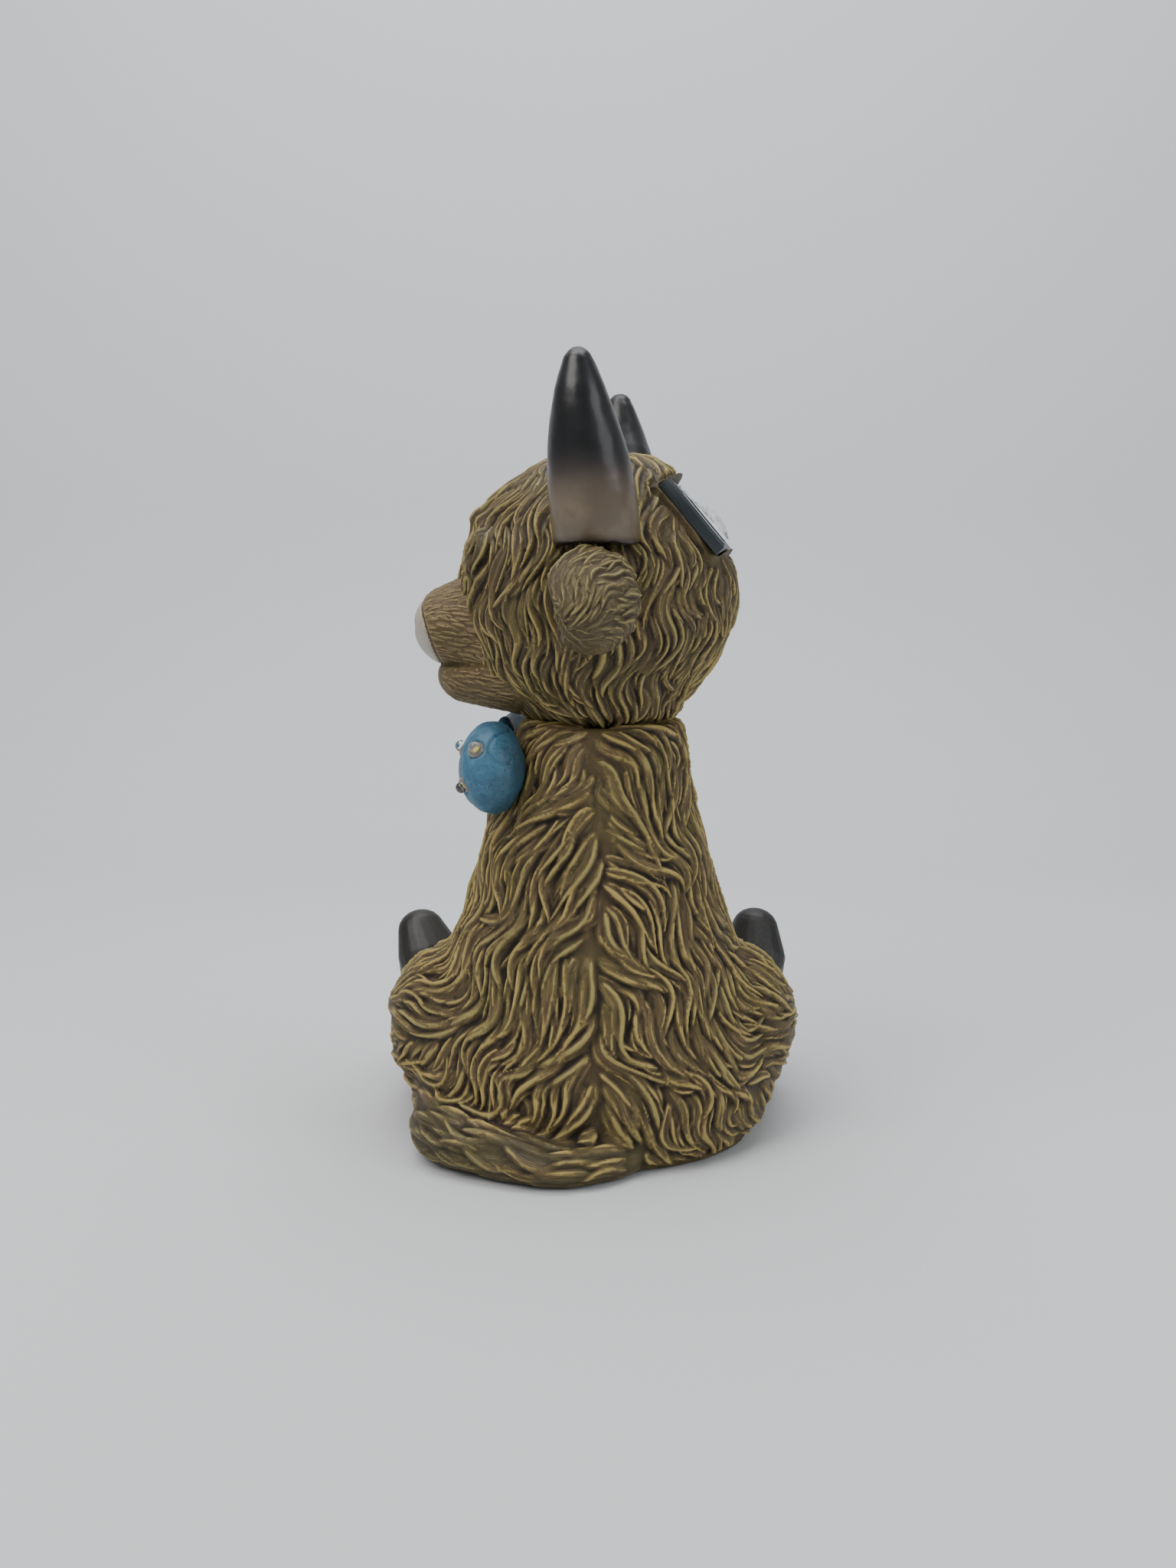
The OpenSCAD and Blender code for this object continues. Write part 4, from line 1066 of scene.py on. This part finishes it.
def make_eyelid(side, name):
    """A thin rim of resin round the eye."""
    bm = bmesh.new()
    rim = bmesh.ops.create_circle(bm, segments=12, radius=1.3)["verts"]
    bmesh.ops.rotate(bm, cent=(0, 0, 0), matrix=Matrix.Rotation(math.pi / 2, 3, "X"), verts=rim)
    bmesh.ops.scale(bm, vec=(1, 1, 1.5), verts=rim)
    bmesh.ops.translate(bm, vec=(6.3, 0, 1.8), verts=rim)
    bmesh.ops.spin(bm, geom=bm.verts[:] + bm.edges[:], cent=(0, 0, 0), axis=(0, 0, 1), angle=2 * math.pi, steps=40,
                   use_merge=True, use_duplicate=False)
    bmesh.ops.remove_doubles(bm, verts=bm.verts, dist=0.001)
    bmesh.ops.recalc_face_normals(bm, faces=bm.faces)
    for v in bm.verts:
        v.co.y *= 0.9
        v.co.z += 0.5 * math.sin(2 * math.atan2(v.co.y, v.co.x)) + 0.35 * soft_noise(v.co, 3.0, 1.0 + side)
    way = Vector((EYE[0], side * EYE[1] * 0.95, 0)).normalized()
    place = Matrix.Translation((EYE[0], side * EYE[1], EYE[2])) @ way.to_track_quat("Z", "Y").to_matrix().to_4x4()
    bmesh.ops.transform(bm, matrix=head_frame @ place, verts=bm.verts)
    lid = painted(to_object(name + "_eyelid", bm), nose_paint)
    return finish_piece(lid, "fur_resin", "figure")


# ---------------------------------------------------------------- horns and ears

def make_horn(side, name):
    root, r, foot = HEAD_WIDTH / 2 - 20, 17.25, HEAD_HEIGHT * 0.20
    rows = curve_through([
        (-5.5, side * (root + 7), foot - 16, r * 1.0), (-4.5, side * (root + 17), foot + 4, r * 1.05),
        (-2.5, side * (root + 24), foot + 27, r * 0.97), (-0.5, side * (root + 29.5), foot + 48, r * 0.70),
        (0.5, side * (root + 30.6), foot + 63, r * 0.42), (0.5, side * (root + 30.8), foot + 67.6, r * 0.30),
        (0.5, side * (root + 30.9), foot + 70.0, r * 0.16), (0.5, side * (root + 30.9), foot + 70.7, r * 0.02)], 8)
    bm = bmesh.new()
    loft(bm, tube_rings([tuple(row[:3]) for row in rows], [(row[3], row[3]) for row in rows], "X"), 72)
    pared(bm, (0, 0, HORN_FOOT), (0, 0, -1))
    bmesh.ops.recalc_face_normals(bm, faces=bm.faces)
    bmesh.ops.transform(bm, matrix=head_frame, verts=bm.verts)
    horn = evened(to_object(name + "_horn_shell", bm), 0.62, 6)
    places, outward, _ = mesh_arrays(horn.data)
    level = places[:, 2] - HEAD_Z - HORN_FOOT
    wave = np.array([soft_noise(p, 11, 7.0 * side) + 0.5 * soft_noise(p, 5, 3.0) for p in places])
    places = places + outward * (wave * (0.22 + 0.7 * np.exp(-level / 7)))[:, None]
    reshaped(horn, places)
    return finish_piece(painted(horn, horn_lacquer), "horn_resin", "figure", name + "_horn")


def make_ear(side, name):
    ear = evened(to_object(name + "_ear_coat", casting_copy(name + "_ear")), 0.55, 8)
    tip = np.array(head_frame @ Vector((EAR_TIP[0], side * EAR_TIP[1], EAR_TIP[2])))

    def flow(p, normal):
        way = tip - p
        way = unit(way - normal * np.dot(way, normal))
        return swirl(way, normal, side * math.radians(30) * math.sin(np.linalg.norm(tip - p) / 6.0)
                     + math.radians(42) * soft_noise(p, 9, 6.6))

    def quiet(places):
        h = in_frame(head_back, places)
        hollow = np.linalg.norm((h - (14, side * 73, -8.5)) / (12, 19, 13.5), axis=1)
        return np.clip((h[:, 2] + 27) / 9, 0.25, 1) * np.clip((hollow - 0.95) * 6, 0.1, 1)

    comb(ear.data, lock_layers(flow, lambda p: True, None, [(9, 3.0, 19, 3.0, 2.0)]),
         sink=1.1, quiet=quiet, spread=4)
    return finish_piece(painted(ear, ear_paint), "fur_resin", "figure", name + "_ear")


# ---------------------------------------------------------------- hooves, bow and lamps

def make_hoof(name):
    hoof = evened(to_object(name + "_shell", casting_copy(name)), 0.6, 5)
    return finish_piece(painted(hoof, hoof_lacquer), "hoof_resin", "figure", name)


def lamp_place(side, angles):
    """Where a lamp stands on its loop, and the frame whose +Z is the way that it faces."""
    turn, lift = math.radians(angles[0]), math.radians(angles[1])
    way = Vector((math.cos(lift) * math.cos(turn), math.cos(lift) * math.sin(turn), math.sin(lift)))
    reach = 1 / math.sqrt(sum((w / r) ** 2 for w, r in zip(way, LOOP_RADII)))
    spot = Vector((LOOP[0] + reach * way.x, side * (LOOP[1] + reach * way.y), reach * way.z))
    tilt = Matrix.Rotation(side * turn, 4, "Z") @ Matrix.Rotation(math.pi / 2 - lift, 4, "Y")
    return bow_frame @ Matrix.Translation(spot) @ tilt


def make_bow():
    """Two chunky loops, pared flat here and there, and the knot between them."""
    bm = bmesh.new()
    for side in (-1, 1):
        part = bmesh.new()
        ball(part, (LOOP[0], side * LOOP[1], 0), LOOP_RADII, detail=40)
        ball(part, (KNOT_X, side * 9, 0), (8, 6, 11.1), detail=24)
        hulled(part)
        for k in range(30):
            lift = math.asin(1 - 2 * (k + 0.5) / 30)
            turn = k * 2.39996 + 0.6 * side
            way = Vector((math.cos(lift) * math.cos(turn), math.cos(lift) * math.sin(turn), math.sin(lift)))
            reach = math.sqrt(sum((w * r) ** 2 for w, r in zip(way, LOOP_RADII)))
            reach = reach * float(rng.uniform(0.945, 0.985))
            spot = Vector((LOOP[0], side * LOOP[1], 0)) + way * reach
            if way.y * side < -0.45:
                continue
            pared(part, spot, way)
        joined(bm, part)
    bmesh.ops.transform(bm, matrix=bow_frame, verts=bm.verts)
    bow = evened(to_object("bow_shell", bm), 0.6, 4)
    places, outward, _ = mesh_arrays(bow.data)
    move = np.array([0.35 * soft_noise(p, 7, 2.5) + 0.16 * soft_noise(p, 2.6, 5.5) for p in places])
    for side in (-1, 1):
        for angles in LAMP_WAYS.values():
            q = in_frame(lamp_place(side, angles).inverted(), places)
            off = np.hypot(q[:, 0], q[:, 1])
            move -= np.where(np.abs(q[:, 2]) < 5, 1.5 * np.clip((4.6 - off) / 1.6, 0, 1), 0)
        q = in_frame(bow_frame.inverted(), places)
        ring = np.hypot(q[:, 0] - 35.5, q[:, 2] - 10)
        move -= 0.9 * np.exp(-((ring - 6.6) / 0.7) ** 2) * (q[:, 1] * side > LOOP[1]) * (q[:, 0] > 33)
    places = places + outward * move[:, None]
    reshaped(bow, places)
    finish_piece(painted(thinned(bow, MOST_BOW), bow_paint), "bow_resin", "figure", "bow_loops")
    knot = bmesh.new()
    ball(knot, (KNOT_X + 1, 0, 0), (11, 9.5, 13.5), detail=48)
    ball(knot, (KNOT_X - 4, 0, 13), (4, 6, 7), detail=32)
    bmesh.ops.transform(knot, matrix=bow_frame, verts=knot.verts)
    knot = evened(to_object("bow_knot_shell", knot), 0.6, 6)
    places, outward, _ = mesh_arrays(knot.data)
    q = in_frame(bow_frame.inverted(), places)
    folds = 0.5 * np.sin(q[:, 1] * 1.15 + 0.5 * np.sin(q[:, 2] / 3)) * np.clip((q[:, 0] - KNOT_X + 4) / 6, 0, 1)
    places = places + outward * folds[:, None]
    reshaped(knot, places)
    finish_piece(painted(knot, bow_paint), "bow_resin", "figure", "bow_knot")


def spun(bm, profile, steps=40):
    """A turned shape: the profile is pairs of radius and height, from axis to axis."""
    verts = [bm.verts.new((r, 0, z)) for r, z in profile]
    edges = [bm.edges.new(pair) for pair in zip(verts, verts[1:])]
    bmesh.ops.spin(bm, geom=verts + edges, cent=(0, 0, 0), axis=(0, 0, 1), angle=2 * math.pi,
                   steps=steps, use_merge=True, use_duplicate=False)
    bmesh.ops.remove_doubles(bm, verts=bm.verts, dist=0.0005)
    bmesh.ops.recalc_face_normals(bm, faces=bm.faces)


def make_lamp(side, name, way, angles):
    """A clear dome on a flange, with its cup and phosphor inside and a collar of glue round it."""
    place = lamp_place(side, angles)
    foot, top = LAMP_PROUD - LAMP_L, LAMP_PROUD
    dome = [(LAMP_R * math.cos(a), top - LAMP_R + LAMP_R * math.sin(a))
            for a in np.linspace(0, math.pi / 2 - 0.001, 10)]
    shapes = {
        "lens": ([(0, foot), (LAMP_R + 0.4, foot), (LAMP_R + 0.4, foot + 1), (LAMP_R, foot + 1.1)] + dome[:-1]
                 + [(0, top)], lamp_clear),
        "cup": ([(0, top - 4.9), (1.5, top - 4.9), (1.9, top - 3.3), (1.7, top - 3.3),
                 (0.8, top - 4.5), (0, top - 4.5)],
                lamp_cup),
        "phosphor": ([(0, top - 4.4), (0.95, top - 4.3), (0.9, top - 3.7), (0.5, top - 3.4), (0, top - 3.35)],
                     lamp_phosphor)}
    for part, (profile, material) in shapes.items():
        bm = bmesh.new()
        spun(bm, profile)
        bmesh.ops.transform(bm, matrix=place, verts=bm.verts)
        piece = painted(to_object("lamp_%s_%s_%s" % (name, way, part), bm), material)
        finish_piece(piece, "lamp", "figure", *(["lamp_%s_%s" % (name, way)] if part == "lens" else []))
    bm = bmesh.new()
    spun(bm, [(LAMP_R - 0.15, -2.2), (LAMP_R + 1.5, -2.2), (LAMP_R + 1.35, -1.1), (LAMP_R + 0.7, -0.35),
              (LAMP_R + 0.2, 0.1), (LAMP_R - 0.15, 0.2), (LAMP_R - 0.15, -2.2)])
    for v in bm.verts:
        v.co.z += 0.5 * soft_noise(v.co, 2.2, 3.0 * side + angles[0])
    bmesh.ops.transform(bm, matrix=place, verts=bm.verts)
    finish_piece(painted(to_object("lamp_%s_%s_glue" % (name, way), bm), lamp_glue), "lamp", "figure")


# ---------------------------------------------------------------- solar panel

def eased(name, offset, segments=2):
    """A copy of a machined or moulded part with its sharp edges eased."""
    bm = casting_copy(name)
    bmesh.ops.dissolve_limit(bm, angle_limit=math.radians(1), verts=bm.verts, edges=bm.edges)
    sharp = [e for e in bm.edges if len(e.link_faces) == 2 and e.calc_face_angle(0) > math.radians(28)]
    bmesh.ops.bevel(bm, geom=sharp, offset=offset, offset_type="OFFSET", segments=segments, profile=0.5,
                    affect="EDGES", clamp_overlap=True, material=-1)
    bmesh.ops.triangulate(bm, faces=[f for f in bm.faces if len(f.verts) > 4])
    return bm


def make_panel():
    frame_piece = painted(to_object("panel_surround", eased("solar_frame", 0.45)), frame_plastic)
    finish_piece(frame_piece, "black_plastic", "figure", "solar_frame")
    bm = bmesh.new()
    bmesh.ops.create_grid(bm, x_segments=44, y_segments=76, size=1)
    torn = []
    for v in bm.verts:
        a, b = v.co.x, v.co.y
        edge = max(abs(a), abs(b))
        if edge > 0.80 + 0.30 * noise.noise(Vector((a * 2.3 + 5, b * 4.1, 2))) + 0.08 * noise.noise(
                Vector((a * 11, b * 17, 7))):
            torn.append(v)
        rise = 0.35 + 4.3 * max(0, math.cos(math.pi / 2 * (a + 0.35))) ** 2 * (1 - b * b)
        rise += 1.3 * abs(noise.noise(Vector((a * 4, b * 6, 3)))) + 0.5 * noise.noise(Vector((a * 12, b * 19, 1)))
        v.co = (a * (PANEL_HALF[0] - 2), -b * (PANEL_HALF[1] - 3), PANEL_SEAT + PANEL_THICK + max(rise, 0.3))
    bmesh.ops.delete(bm, geom=torn)
    bmesh.ops.solidify(bm, geom=bm.faces[:], thickness=0.14)
    bmesh.ops.transform(bm, matrix=panel_frame, verts=bm.verts)
    bmesh.ops.recalc_face_normals(bm, faces=bm.faces)
    finish_piece(painted(to_object("torn_film", bm), torn_film), "clear_film", "figure", "panel_film")


# ---------------------------------------------------------------- base and the parts inside

def make_base():
    finish_piece(painted(to_object("base_cover", eased("base_plate", 0.5)), base_resin),
                 "base_resin", "figure", "base_plate")


def paint_castings():
    """Finishes for the castings and bought parts that show their own shape."""
    black = moulded_material("box_plastic", (0.012, 0.012, 0.013), (0.035, 0.035, 0.036), 0.36, 1.5)
    steel = moulded_material("bright_steel", (0.42, 0.42, 0.43), (0.66, 0.66, 0.66), 0.20, 0.8, 1.0)
    finishes = {
        "battery_box": black, "battery_door": black, "switch_slider": black,
        "switch_body": steel, "contact_spring": steel, "contact_plate": steel, "door_screws": steel,
        "battery_cell": moulded_material("cell_sleeve", (0.02, 0.20, 0.07), (0.04, 0.32, 0.12), 0.18, 0.4),
        "circuit_board": moulded_material("board_resist", (0.01, 0.09, 0.03), (0.03, 0.18, 0.07), 0.25, 1.0),
        "board_parts": moulded_material("part_bodies", (0.03, 0.03, 0.035), (0.10, 0.10, 0.11), 0.35, 1.0),
        "lamp_lead": moulded_material("lead_sheath", (0.012, 0.012, 0.012), (0.05, 0.05, 0.05), 0.45, 1.0),
        "solar_cell": silicon, "left_eye": eye_gloss, "right_eye": eye_gloss}
    finishes["solar_lead"] = finishes["lamp_lead"]
    for name, material in finishes.items():
        painted(nodes[name], material)


make_camera()
make_studio()
make_body()
make_head()
make_muzzle()
for side, name in ((1, "left"), (-1, "right")):
    make_horn(side, name)
    make_ear(side, name)
    make_eyelid(side, name)
    for way, angles in LAMP_WAYS.items():
        make_lamp(side, name, way, angles)
    make_hoof(name + "_hind_hoof")
    make_hoof(name + "_fore_hoof")
make_bow()
make_panel()
make_base()
paint_castings()
